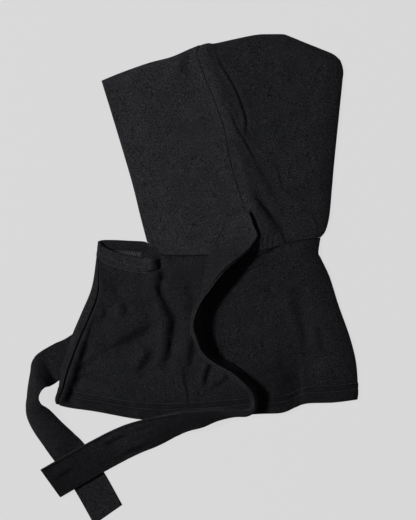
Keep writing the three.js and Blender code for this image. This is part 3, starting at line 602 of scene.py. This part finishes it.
# Sections of the ties at even steps along them
def tie_sections(table, length):
    t, a, b, c, d = spans(np.array([row[1:] for row in table], float), 60)
    before, within, after = b - a, c - b, d - c

    # Slopes of the angles and the width, which overshoot no row
    def tight(p, q):
        return np.where(p * q > 0, 2 * p * q / np.where(p * q > 0, p + q, 1), 0)

    leave = tight(before, within)
    arrive = tight(within, after)
    leave[:, :2] = (before + within)[:, :2] / 2
    arrive[:, :2] = (within + after)[:, :2] / 2
    fine = b + t * (leave + t * (3 * within - 2 * leave - arrive + t * (leave + arrive - 2 * within)))
    fine[:, 0] = TIE_ROOT[0] + fine[:, 0] * HEM_WIDTH
    fine[:, 1] = TIE_ROOT[1] - fine[:, 1] * CAPE_DROP
    along = run(fine[:, :2])
    even = np.linspace(0, length, round(length / TIE_STEP) + 1)
    made = np.stack([np.interp(even, along, fine[:, k]) for k in range(6)], -1)
    past = np.maximum(even - along[-1], 0)
    made[:, :2] += past[:, None] * unit(fine[-1, :2] - fine[-2, :2])
    return made


# Points across each section: plan place and height over the section's lowest point
def tie_profiles(sections):
    middle = sections[:, None, :2]
    turn, roll, arc = (np.radians(sections[:, k])[:, None] for k in (2, 3, 4))
    width = sections[:, 5][:, None] * TIE_WIDTH
    share = np.linspace(-0.5, 0.5, TIE_STRIPS + 1)[None, :]
    curl = np.where(np.abs(arc) < 0.01, 0.01, arc)
    across = width / curl * np.sin(share * curl)
    bulge = width / curl * (np.cos(share * curl) - np.cos(curl / 2))
    side = across * np.cos(roll) - bulge * np.sin(roll)
    up = across * np.sin(roll) + bulge * np.cos(roll)
    side = side - (side.min(1) + side.max(1))[:, None] / 2
    up = up - up.min(1)[:, None]
    way = np.stack([np.cos(turn), np.sin(turn)], -1)
    return middle + side[..., None] * way, up


def slid(values, count, how):
    padded = np.pad(values, count, mode="edge")
    return how([padded[k:k + len(values)] for k in range(2 * count + 1)], axis=0)


# The tie's middle surface: each section rests on what is below it and beside it
def tie_surface(sections, height_below, half):
    plan, up = tie_profiles(sections)
    rest = (on_grid(plan, height_below) - up).max(1)
    rest = slid(rest, 6, np.max)
    for _ in range(3):
        rest = slid(rest, 2, np.mean)
    height = (rest + LAY_GAP + half)[:, None] + up
    return np.dstack([plan, height])


left_sections = tie_sections(LEFT_TIE, LEFT_TIE_LENGTH)
right_sections = tie_sections(RIGHT_TIE, RIGHT_TIE_LENGTH)
right_middle = right_sections[::6, :2]


# What lies under the left tie, on a raster of the whole plan
def inside(points, outline):
    odd = np.zeros(len(points), bool)
    x, y = points.T
    for a, b in zip(outline, np.roll(outline, -1, axis=0)):
        if a[1] == b[1]:
            continue
        crosses = (a[1] > y) != (b[1] > y)
        odd ^= crosses & (x < a[0] + (y - a[1]) / (b[1] - a[1]) * (b[0] - a[0]))
    return odd


def outline(there, back):
    return np.vstack([trace(curve, 40) for curve in there] + [trace(curve, 40)[::-1] for curve in back])


hood_outline = outline([face_near, crown_fold, crown_seam], [back_seam, neck_near])
cape_outline = outline([chin_near, neck_near, cape_back], [hem_near, cape_front])


def raster_of_tops():
    xs = np.arange(*RASTER_X, RASTER_STEP, float)
    ys = np.arange(*RASTER_Y, RASTER_STEP, float)
    points = np.stack(np.meshgrid(xs, ys), -1).reshape(-1, 2)
    beside = to_line(points, right_middle)[0] - TIE_WIDTH / 2
    tops = np.where(beside < RASTER_REACH, LAY_GAP + TIE_THICKNESS, 0.0)
    covered = inside(points, hood_outline) | inside(points, cape_outline)
    tops[covered] = near_height(points[covered]) + PANEL_THICKNESS / 2
    tops = tops.reshape(len(ys), len(xs))
    reach = RASTER_REACH
    padded = np.pad(tops, reach, mode="edge")
    highest = tops.copy()
    for i in range(-reach, reach + 1):
        for j in range(-reach, reach + 1):
            if i * i + j * j <= reach * reach:
                moved = padded[reach + i:reach + i + len(ys), reach + j:reach + j + len(xs)]
                highest = np.maximum(highest, moved)
    return highest


raster_tops = raster_of_tops()


def top_at(points):
    x = np.clip((points[:, 0] - RASTER_X[0]) / RASTER_STEP, 0, raster_tops.shape[1] - 1.001)
    y = np.clip((points[:, 1] - RASTER_Y[0]) / RASTER_STEP, 0, raster_tops.shape[0] - 1.001)
    i, j = y.astype(int), x.astype(int)
    s, t = y - i, x - j
    lower = mix(raster_tops[i, j], raster_tops[i, j + 1], t)
    upper = mix(raster_tops[i + 1, j], raster_tops[i + 1, j + 1], t)
    return mix(lower, upper, s)


def far_height(points, thickness):
    flat = mix(FOLD_LEVEL, thickness / 2, rounded(to_edges(points, closed_edges), FAR_ROUND))
    clear = TIE_THICKNESS + LAY_GAP + thickness / 2
    beside = to_line(points, right_middle)[0] - TIE_WIDTH / 2 - TIE_CLEAR
    return mix(np.maximum(flat, clear), flat, smooth(beside / TIE_SLOPE))


def layer_height(plan, is_far, thickness):
    return on_grid(plan, far_height, thickness) if is_far else on_grid(plan, near_height)


# A patch of cloth between four edges
def patch(bottom, top, left, right, us, vs):
    u = us[..., None]
    v = vs[..., None]
    across = mix(bottom.at(us), top.at(us), v)
    up = mix(left.at(vs), right.at(vs), u)
    low = mix(bottom.at(0), bottom.at(1), u)
    high = mix(top.at(0), top.at(1), u)
    return across + up - mix(low, high, v)


# Steps that follow a round fold
def bend(radius):
    return list(radius * (1 - np.cos(BEND_ANGLES)))


# Shares of a length for a mesh, with given steps in from its start and its end
def steps(length, cell, start, end):
    last = [length - step for step in reversed(end)]
    count = max(2, round((last[0] - start[-1]) / cell))
    inner = np.linspace(start[-1], last[0], count + 1)[1:-1]
    return np.array([*start, *inner, *last]) / length


# Thickness falls to nothing at an edge, so that it is round
def edge_share(middle, thickness, edges):
    share = np.ones(middle.shape[:2])
    for axis, side in edges:
        along = run(np.flip(middle, axis) if side else middle, axis)
        share = np.minimum(share, rounded(np.flip(along, axis) if side else along, thickness / 2))
    return np.maximum(share, THINNEST_SHARE)


def normals_of(middle, looped=False):
    if looped:
        wrapped = np.concatenate([middle[:, -1:], middle, middle[:, :1]], axis=1)
        across = wrapped[:, 2:] - wrapped[:, :-2]
    else:
        across = np.gradient(middle, axis=1)
    return unit(np.cross(across, np.gradient(middle, axis=0)))


def quads(height, width, looped):
    i = np.arange(height - 1)[:, None] * width
    j = np.arange(width if looped else width - 1)
    k = (j + 1) % width
    return np.stack([i + j, i + k, i + width + k, i + width + j], -1).reshape(-1, 4)


# Faces turned so that they look out of the form they close
def facing_out(points, faces):
    a, b, c, d = (points[faces[:, k]] for k in range(4))
    volume = (a * (np.cross(b, c) + np.cross(c, d))).sum()
    return faces[:, ::-1] if volume < 0 else faces


def in_scene(name, data):
    made = bpy.data.objects.new(name, data)
    bpy.context.scene.collection.objects.link(made)
    return made


def make_mesh(name, points, faces, uv, material, tone=0):
    mesh = bpy.data.meshes.new(name)
    faces = facing_out(points, faces).astype(np.int32)
    points = points + [*PLAN_AT, 0]
    mesh.vertices.add(len(points))
    mesh.vertices.foreach_set("co", (points / 1000).astype(np.float32).ravel())
    mesh.loops.add(faces.size)
    mesh.loops.foreach_set("vertex_index", faces.ravel())
    mesh.polygons.add(len(faces))
    mesh.polygons.foreach_set("loop_start", np.arange(0, faces.size, faces.shape[1], dtype=np.int32))
    mesh.polygons.foreach_set("use_smooth", np.ones(len(faces), bool))
    mesh.update(calc_edges=True)
    layer = mesh.uv_layers.new(name="cloth")
    layer.data.foreach_set("uv", (uv[faces.ravel()] / 1000).astype(np.float32).ravel())
    tones = mesh.attributes.new("cloth_tone_and_shade", "FLOAT", "POINT")
    tones.data.foreach_set("value", np.broadcast_to(np.float32(tone), len(points)).ravel())
    mesh.materials.append(material)
    made = in_scene(name, mesh)
    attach(made, "root")
    return made


# A closed sheet from its middle surface and thickness. The last column of a looped one joins its first.
def sheet_faces(height, width, looped):
    count = height * width
    upper = quads(height, width, looped)
    j = np.arange(width if looped else width - 1)
    k = (j + 1) % width
    end = count - width
    rims = [
        np.stack([count + j, count + k, k, j], -1),
        np.stack([end + j, end + k, count + end + k, count + end + j], -1),
    ]
    if not looped:
        i = np.arange(height - 1) * width
        last = i + width - 1
        rims.append(np.stack([i, i + width, count + i + width, count + i], -1))
        rims.append(np.stack([count + last, count + last + width, last + width, last], -1))
    return np.vstack([upper, count + upper[:, ::-1], *rims])


def cloth_sheet(name, middle, thickness, tone, looped=False):
    half = (thickness / 2)[..., None] * normals_of(middle, looped)
    upper = middle + half
    lower = middle - half
    points = np.vstack([upper.reshape(-1, 3), lower.reshape(-1, 3)])
    faces = sheet_faces(*middle.shape[:2], looped)
    uv = np.dstack([run(middle, 1), run(middle, 0)]).reshape(-1, 2)
    uv = np.vstack([uv, uv + [7, 11]])
    tone = np.tile(np.broadcast_to(tone, middle.shape[:2]).ravel(), 2)
    return make_mesh(name, points, faces, uv, jersey, tone), upper, lower


def round_sheet(name, middle, thickness, tone):
    return cloth_sheet(name, middle, thickness * edge_share(middle, thickness, ALL_EDGES), tone)[0]


# A material and its nodes. An input is given as a number, a colour or the output that feeds it.
class Look:
    def __init__(self, name):
        self.material = bpy.data.materials.new(name)
        self.material.use_nodes = True
        self.nodes = self.material.node_tree.nodes
        self.shader = self.nodes["Principled BSDF"]

    def feed(self, node, inputs):
        for name, value in inputs.items():
            if isinstance(value, bpy.types.NodeSocket):
                self.material.node_tree.links.new(value, node.inputs[name])
            else:
                node.inputs[name].default_value = value
        return node

    def add(self, kind, inputs, **settings):
        node = self.nodes.new("ShaderNode" + kind)
        for name, value in settings.items():
            setattr(node, name, value)
        return self.feed(node, inputs)

    def multiply_add(self, value, factor, added):
        return self.add("Math", {0: value, 1: factor, 2: added}, operation="MULTIPLY_ADD").outputs[0]

    def ramp(self, value, rows):
        node = self.add("ValToRGB", {"Fac": value})
        elements = node.color_ramp.elements
        elements[0].position, elements[0].color = rows[0]
        elements[1].position, elements[1].color = rows[-1]
        for position, colour in rows[1:-1]:
            elements.new(position).color = colour
        return node.outputs["Color"]


def jersey_material():
    look = Look("black_jersey")
    place = look.add("TexCoord", {}).outputs

    # Heather of light and dark fibres, over soft patches, in the tone of the cloth with its painted light and
    # shade
    fibres = look.add("TexNoise", {"Vector": place["Object"], **FIBRES}).outputs["Fac"]
    patches = look.add("TexNoise", {"Vector": place["Object"], **PATCHES}).outputs["Fac"]
    heather = look.ramp(look.multiply_add(patches, PATCH_GAIN, fibres), CLOTH_TONES)
    tone = look.add("Attribute", {}, attribute_name="cloth_tone_and_shade").outputs["Fac"]
    density = look.multiply_add(tone, TONE_GAIN, 1)
    colour = look.add("VectorMath", {0: heather, "Scale": density}, operation="SCALE").outputs[0]

    # Knit: wales 0.9 mm apart, crossed by loops, with a little fuzz
    knit = look.add("Mapping", {"Vector": place["UV"], "Scale": KNIT_SCALE}).outputs["Vector"]
    wales = look.add("TexWave", {"Vector": knit, **WALES}, bands_direction="X").outputs["Fac"]
    loops = look.add("TexWave", {"Vector": knit, **LOOPS}, bands_direction="DIAGONAL").outputs["Fac"]
    height = look.multiply_add(fibres, FUZZ_GAIN, look.multiply_add(loops, LOOP_GAIN, wales))
    normal = look.add("Bump", {"Height": height, **RELIEF}).outputs["Normal"]
    look.feed(look.shader, {"Base Color": colour, "Normal": normal, **CLOTH_FINISH})
    return look.material


def thread_material():
    look = Look("sewing_thread")
    place = look.add("TexCoord", {}).outputs
    twist = look.add("TexNoise", {"Vector": place["Object"], **TWIST}).outputs["Fac"]
    look.feed(look.shader, {"Base Color": look.ramp(twist, THREAD_TONES), **THREAD_FINISH})
    return look.material


jersey = jersey_material()
thread = thread_material()


# Moves the given edges in by half a seam gap
def trimmed(plan, edges):
    plan = plan.copy()
    for axis, side in edges:
        order = np.flip(plan, axis) if side else plan
        order = np.swapaxes(order, 0, 1) if axis else order
        order[0:4] += unit(order[3] - order[0]) * SEAM_GAP / 2
    return plan


def front_panel():
    us = steps(crown_fold.length, CELL, RIM, RIM)
    near_vs = steps(panel_near.length, CELL, RIM, bend(NEAR_ROUND))
    far_vs = steps(panel_far.length, FAR_CELL, RIM, bend(FAR_ROUND))[::-1][1:]
    near_neck = neck_near.part(0, NEAR_FOOT_SHARE)
    far_neck = neck_far.part(0, FAR_FOOT_SHARE)
    near = patch(near_neck, crown_fold, face_near, panel_near, *np.meshgrid(us, near_vs))
    far = patch(far_neck, crown_fold, face_far, panel_far, *np.meshgrid(us, far_vs))
    plan = trimmed(np.vstack([near, far]), [(0, 0), (0, 1), (1, 1)])
    count = len(near_vs)
    near_part = layer_height(plan[:count], False, PANEL_THICKNESS)
    far_part = layer_height(plan[count:], True, PANEL_THICKNESS)
    middle = np.dstack([plan, np.vstack([near_part, far_part])])
    return round_sheet("front_panel_jersey", middle, PANEL_THICKNESS, FRONT_TONE)


def back_panel(name, is_far):
    neck, foot, seam, cell, radius, apart = (
        (neck_far, FAR_FOOT_SHARE, panel_far, FAR_CELL, FAR_ROUND, -LAYERS_APART) if is_far
        else (neck_near, NEAR_FOOT_SHARE, panel_near, CELL, NEAR_ROUND, LAYERS_APART)
    )
    us = steps(crown_seam.length, cell, RIM, bend(radius))
    vs = steps(seam.length, cell, RIM, bend(radius))
    plan = patch(neck.part(foot, 1), crown_seam, seam, back_seam, *np.meshgrid(us, vs))
    plan = trimmed(plan, [(0, 0), (1, 0)])
    at_edge = np.exp(-on_grid(plan, to_edges, back_edges) / BACK_EDGE)
    middle = np.dstack([plan, layer_height(plan, is_far, JERSEY) + apart * at_edge])
    from_seam = on_grid(plan, to_edges, [trace(seam)])
    return round_sheet(name, middle, JERSEY, np.exp(-((from_seam / ALLOWANCE) ** 4)))


# Threads as short tubes along paths of the same number of points
def threads(name, paths, radius):
    paths = np.array(paths)
    count, length = paths.shape[:2]
    way = unit(np.gradient(paths, axis=1))
    beside = unit(np.cross(way, [0, 0, 1]))[:, :, None]
    over = np.cross(beside, way[:, :, None])
    size = np.full((length, 1, 1), radius)
    size[[0, -1]] *= THREAD_TIP
    angle = (2 * np.pi * np.arange(THREAD_SIDES) / THREAD_SIDES)[:, None]
    points = paths[:, :, None] + size * (np.cos(angle) * beside + np.sin(angle) * over)
    points = points.reshape(-1, 3)
    cap = np.array([[0, 1, 2, 3], [0, 3, 4, 5]])
    tube = np.vstack([quads(length, THREAD_SIDES, True), cap[:, ::-1], cap + (length - 1) * THREAD_SIDES])
    faces = np.arange(count)[:, None, None] * length * THREAD_SIDES + tube
    return make_mesh(name, points, faces.reshape(-1, 4), points[:, :2], thread)


def evenly(line, step):
    along = run(line)
    even = np.arange(0, along[-1], step)
    return np.stack([np.interp(even, along, line[:, k]) for k in range(3)], -1)


def lifted(path, rises):
    return path + np.outer(rises, [0, 0, 1])


# Half of each stitch shows, and its two ends go into the cloth
def stitch_row(line, lift):
    fine = evenly(line, STITCH / 6)
    return [lifted(fine[k:k + 4], lift * STITCH_RISES) for k in range(0, len(fine) - 6, 6)]


def zigzag_row(first, second):
    a = evenly(first, STITCH)
    b = evenly(second, STITCH)
    paths = []
    for k in range(min(len(a), len(b)) - 1):
        paths += [np.linspace(a[k], b[k], 4), np.linspace(b[k], a[k + 1], 4)]
    return [lifted(path, LOOPER_RISES) for path in paths]


# Pinch of a stitched row, over a millimetre to each side of it
def pinch(distance):
    return np.exp(-((distance / PINCH_WIDTH) ** 2))


# Rows of the cape's mesh by their distance from the hem, close together where it is stitched
def cape_levels(drop):
    stitched = [*HEM_ROWS, *(drop - row for row in BAND_ROWS)]
    fine = [row + step for row in stitched for step in PINCH_STEPS]
    coarse = steps(drop, CELL, RIM, RIM) * drop
    coarse = [level for level in coarse if min(abs(level - row) for row in fine) > PINCH_CLEAR]
    return np.array(sorted([*coarse, *fine]))


# The cape is a loop of columns: the strip ahead of its front seam, the rest of the near side, the far side
def cape():
    drop = cape_back.length
    levels = cape_levels(drop)
    vs = levels / drop
    down = trace(Curve(FRONT_SEAM), 60)
    seam = np.interp(1 - vs, down[:, 0], down[:, 1])[:, None] * FRONT_STRIP / HEM_WIDTH
    gap = FRONT_GAP / HEM_WIDTH
    near_us = steps(HEM_WIDTH, CELL, STEP_RIM, bend(NEAR_ROUND))
    far_us = steps(HEM_WIDTH, FAR_CELL, bend(FAR_ROUND), bend(FAR_ROUND))[::-1][1:-1]
    near_u = np.hstack([STRIP_COLUMNS * (seam - gap), seam + gap + near_us * (1 - seam - gap)])
    near_v = np.repeat(vs[:, None], near_u.shape[1], axis=1)
    far_u, far_v = np.meshgrid(far_us, vs)
    sides = cape_front.back(), cape_back.back()
    near = patch(hem_near, chin_near.then(neck_near), *sides, near_u, near_v)
    far = patch(hem_far, chin_far.then(neck_far), *sides, far_u, far_v)
    plan = trimmed(np.hstack([near, far]), [(0, 1)])
    strip = len(STRIP_COLUMNS)
    columns = near_u.shape[1]

    # Thickness: two layers in the hem and in the band under the chin, pinched where they are stitched
    level = levels[:, None]
    near_chin = chin_near.length / (chin_near.length + neck_near.length)
    far_chin = chin_far.length / (chin_far.length + neck_far.length)
    band = smooth(np.hstack([near_chin - near_u, far_chin - far_u]) * HEM_WIDTH / BAND_END)
    in_hem = 1 - smooth((level - HEM_DEPTH) / TURNED_EDGE)
    in_band = (1 - smooth((drop - level - CHIN_BAND) / TURNED_EDGE)) * band
    hem_sewn = sum(pinch(level - row) for row in HEM_ROWS)
    band_sewn = sum(pinch(drop - level - row) for row in BAND_ROWS) * band
    thickness = JERSEY + (HEM_THICKNESS - JERSEY) * np.maximum(in_hem, in_band)
    thickness = thickness - HEM_PINCH * hem_sewn - BAND_PINCH * band_sewn

    # Height: the front seam is a ridge at the neck, and further down a step with a slit beside it
    far_part = layer_height(plan[:, columns:], True, HEM_THICKNESS)
    height = np.hstack([layer_height(near, False, JERSEY), far_part])
    opening = smooth((1 - near_v) / RIDGE_SHARE)
    from_seam = (near_u - seam) * HEM_WIDTH
    is_main = np.arange(columns) >= strip
    step = np.exp(-((np.maximum(from_seam, 0) / ROLL_WIDTH) ** 2)) * is_main
    slit = smooth((SLIT_WIDTH + from_seam) / SLIT_EDGE + 0.5) * ~is_main
    ridge = np.exp(-((from_seam / RIDGE_WIDTH) ** 2))
    height[:, :columns] += mix(RIDGE_HEIGHT * ridge, FRONT_STEP * step - SLIT_DEPTH * slit, opening)
    middle = np.dstack([plan, height])

    # Tone: light in the band and darker in the hem, with painted shade in the neck seam, along the stitched
    # rows and in a hollow above the hem
    is_near = np.arange(plan.shape[1]) < columns
    seam_shade = np.exp(-(((drop - level) / SEAM_SHADE_WIDTH) ** 2)) * (1 - band)
    from_hollow = np.linalg.norm(plan - HOLLOW_AT, axis=2) / HOLLOW_REACH
    tone = CAPE_TONE + (BAND_TONE * in_band + SEAM_SHADE_TONE * seam_shade) * is_near + HEM_TONE * in_hem
    tone = tone + STITCH_SHADE_TONE * (hem_sewn + band_sewn) + HOLLOW_SHADE_TONE * np.exp(-(from_hollow ** 2))
    share = edge_share(middle, HEM_THICKNESS, ENDS)
    made, outer, inner = cloth_sheet("cape_jersey", middle, thickness * share, tone, looped=True)
    if outer[60, 60, 2] < inner[60, 60, 2]:
        outer, inner = inner, outer

    hem_lines = [np.argmin(np.abs(levels - row)) for row in HEM_ROWS]
    band_lines = [np.argmin(np.abs(levels - drop + row)) for row in BAND_ROWS]
    near_band = slice(strip, strip + int(np.sum(near_us < near_chin)) - 1)
    far_band = slice(columns + int(np.sum(far_us > far_chin)) + 1, None)
    stitches = []
    for lines, near_part, far_part in (
        (hem_lines, slice(strip, columns), slice(columns, None)), (band_lines, near_band, far_band),
    ):
        for line in lines:
            stitches += stitch_row(outer[line, near_part], 1)
            stitches += stitch_row(outer[line, far_part], -1)
    loopers = zigzag_row(*(inner[line, far_band] for line in band_lines))
    return made, stitches, loopers


# A tie: two plies that part a little at both long edges, with a groove between them
def tie(name, middle, thickness, apart, tones, edge_light_and_shade):
    rows, columns = middle.shape[:2]
    along = run(middle, 1)
    width = along[:, -1:]
    wide = smooth(width / TIE_WIDTH * 2 - 0.3)
    to_side = np.minimum(along, width - along)
    full = thickness[:, None] + apart * wide * np.exp(-((to_side / PLIES_REACH) ** 2))
    share = edge_share(middle, TIE_THICKNESS, ENDS)
    half = (full / 2 * share)[..., None] * normals_of(middle)
    upper = middle + half
    lower = middle - half
    grooves = []
    for column, beside in ((0, 1), (-1, -2)):
        outward = unit(middle[:, column] - middle[:, beside])
        grooves.append([
            upper[:, column] + (outward - half[:, column]) * PLY_ROUND,
            middle[:, column] - outward * GROOVE_DEPTH * wide,
            lower[:, column] + (outward + half[:, column]) * PLY_ROUND,
        ])
    ring = [*np.swapaxes(upper, 0, 1), *grooves[1], *np.swapaxes(lower, 0, 1)[::-1], *grooves[0][::-1]]
    points = np.stack(ring, 1)
    count = points.shape[1]
    last = 2 * columns + 2
    cap = [[j, j + 1, last - j, last + 1 - j] for j in range(columns - 1)]
    cap.append([columns - 1, columns + 2, columns + 3, columns + 4])
    cap.append([columns - 1, columns, columns + 1, columns + 2])
    cap.append([count - 3, count - 2, count - 1, 0])
    cap = np.array(cap)
    faces = np.vstack([quads(rows, count, True), cap, cap[:, ::-1] + (rows - 1) * count])
    length = np.arange(rows) * TIE_STEP
    strips = np.concatenate([np.arange(columns), np.full(3, columns), np.arange(columns)[::-1], np.zeros(3)])
    uv = np.stack(np.broadcast_arrays(strips * TIE_WIDTH / TIE_STRIPS, length[:, None]), -1)
    # Tone along the tie from its rows, which on the left tie is painted light and shade; then a painted
    # shadow along the first columns near the root, painted shade just inside the raised edge and a painted
    # highlight on it
    tone = np.repeat(np.interp(length, *zip(*tones))[:, None], count, axis=1)
    tone[:, :2] -= edge_light_and_shade * smooth((EDGE_SHADOW_END - length) / EDGE_SHADOW_FADE)[:, None]
    tone[:, columns - 3:columns - 1] -= edge_light_and_shade / 2
    tone[:, columns - 1:columns + 4] += edge_light_and_shade
    return make_mesh(name, points.reshape(-1, 3), faces, uv.reshape(-1, 2), jersey, tone.ravel())


# The left tie is thicker where it is gathered or folded lengthways, and has low folds where it lies down
def left_tie():
    wide, roll = left_sections[:, 5], np.radians(left_sections[:, 3])
    thickness = TIE_THICKNESS * (1 + (1 - wide) * np.sin(roll))
    middle = tie_surface(left_sections, top_at, thickness / 2 + LEFT_LIFT)
    is_down = smooth((np.linspace(0, 1, len(middle)) - DOWN_SHARE) / DOWN_FADE)
    folded = on_grid(middle[..., :2], crease_height, tie_creases)
    loft = smooth((middle[..., 2] - LEAST_LOFT) / 2)
    middle[..., 2] += is_down[:, None] * np.where(folded > 0, folded, folded * loft)
    return tie("tie_left_jersey", middle, thickness, PLIES_APART, LEFT_TIE_LIGHT_AND_SHADE, LEFT_EDGE_LIGHT_AND_SHADE)


def right_tie():
    thickness = np.full(len(right_sections), TIE_THICKNESS)
    middle = tie_surface(right_sections, lambda points: np.full(len(points), -LAY_GAP), thickness / 2)
    return tie("tie_right_jersey", middle, thickness - 0.2, 0, RIGHT_TIE_TONES, 0)


# Overlocked edges inside a seam: a narrow band under the upper layer, or on top of the lower one
def allowance_band(name, curve, is_far):
    centre = curve.at(np.linspace(0.01, 0.97, round(curve.length / BAND_STEP)))
    way = unit(np.gradient(centre, axis=0))
    beside = np.stack([-way[:, 1], way[:, 0]], -1)
    offsets = np.linspace(-ALLOWANCE_BAND / 2, ALLOWANCE_BAND / 2, BAND_STRIPS + 1)
    plan = centre[:, None] + offsets[:, None] * beside[:, None]
    middle = np.dstack([plan, layer_height(plan, is_far, PANEL_THICKNESS)])
    normal = normals_of(middle)
    normal *= np.where(normal[..., 2:] < 0, -1, 1)
    apart = (PANEL_THICKNESS + BAND_THICKNESS) / 2 + BAND_CLEAR
    middle += normal * (apart if is_far else -apart)
    return round_sheet(name, middle, BAND_THICKNESS, ALLOWANCE_TONE)


front = front_panel()
back_left = back_panel("back_panel_left_jersey", False)
back_right = back_panel("back_panel_right_jersey", True)
cape_piece, stitches, loopers = cape()
tie_left = left_tie()
tie_right = right_tie()
threads("twin_needle_stitches", stitches, STITCH_RADIUS)
threads("looper_threads", loopers, LOOPER_RADIUS)
panel_allowance = allowance_band("panel_seam_allowance", panel_near, False)
neck_allowance = allowance_band("neck_seam_allowance", neck_near, False)
far_neck_allowance = allowance_band("far_neck_seam_allowance", neck_far, True)

# Each sheet with the node it stands for, its flat size and area in metres, what it rests on and holds
SHEETS = [
    ("front_panel", front, (0.115, 0.46), 0.0485, ["tie_right_jersey"], [panel_allowance]),
    ("back_panel_left", back_left, (0.155, 0.21), 0.028, ["back_panel_right_jersey"], []),
    ("back_panel_right", back_right, (0.155, 0.21), 0.027, ["tie_right_jersey"], []),
    ("cape", cape_piece, (0.66, 0.19), 0.1085, ["tie_right_jersey"], [neck_allowance, far_neck_allowance]),
    ("tie_left", tie_left, (0.037, 0.498), None, ["front_panel_jersey", "cape_jersey"], []),
    ("tie_right", tie_right, (0.037, 0.47), None, [], []),
]
for node, piece, flat, area, rests_on, held_pieces in SHEETS:
    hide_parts(node)

# Floor
corners = [(x * FLOOR_REACH, y * FLOOR_REACH, FLOOR_LEVEL) for x, y in ((-1, -1), (1, -1), (1, 1), (-1, 1))]
floor_mesh = bpy.data.meshes.new("floor")
floor_mesh.from_pydata(corners, [], [(0, 1, 2, 3)])
paper = Look("pale_paper")
paper.feed(paper.shader, PAPER_FINISH)
floor_mesh.materials.append(paper.material)
in_scene("floor", floor_mesh)

# Light
key_data = bpy.data.lights.new("key", "AREA")
key_data.shape = "DISK"
key_data.size = KEY_SIZE
key_data.energy = KEY_ENERGY
key_data.color = KEY_COLOUR
key = in_scene("key", key_data)
key.location = KEY_AT
key.rotation_euler = (-key.location.normalized()).to_track_quat("-Z", "Y").to_euler()
world = bpy.data.worlds.new("studio")
bpy.context.scene.world = world
world.use_nodes = True
for name, value in SKY.items():
    world.node_tree.nodes["Background"].inputs[name].default_value = value

# Camera, straight above, with a long lens
camera_data = bpy.data.cameras.new("camera")
camera = in_scene("camera", camera_data)
centre_x = (PHOTO_WIDTH / 2 - PHOTO_ZERO[0]) * MM_PER_PIXEL + PLAN_AT[0]
centre_y = (PHOTO_ZERO[1] - PHOTO_HEIGHT / 2) * MM_PER_PIXEL + PLAN_AT[1]
camera.location = (centre_x / 1000, centre_y / 1000, CAMERA_HEIGHT)
camera_data.sensor_fit = "AUTO"
camera_data.sensor_width = SENSOR_WIDTH
camera_data.lens = SENSOR_WIDTH * CAMERA_HEIGHT / (PHOTO_HEIGHT * MM_PER_PIXEL / 1000)
camera_data.clip_end = 20
bpy.context.scene.camera = camera
bpy.context.scene.view_settings.view_transform = "Standard"
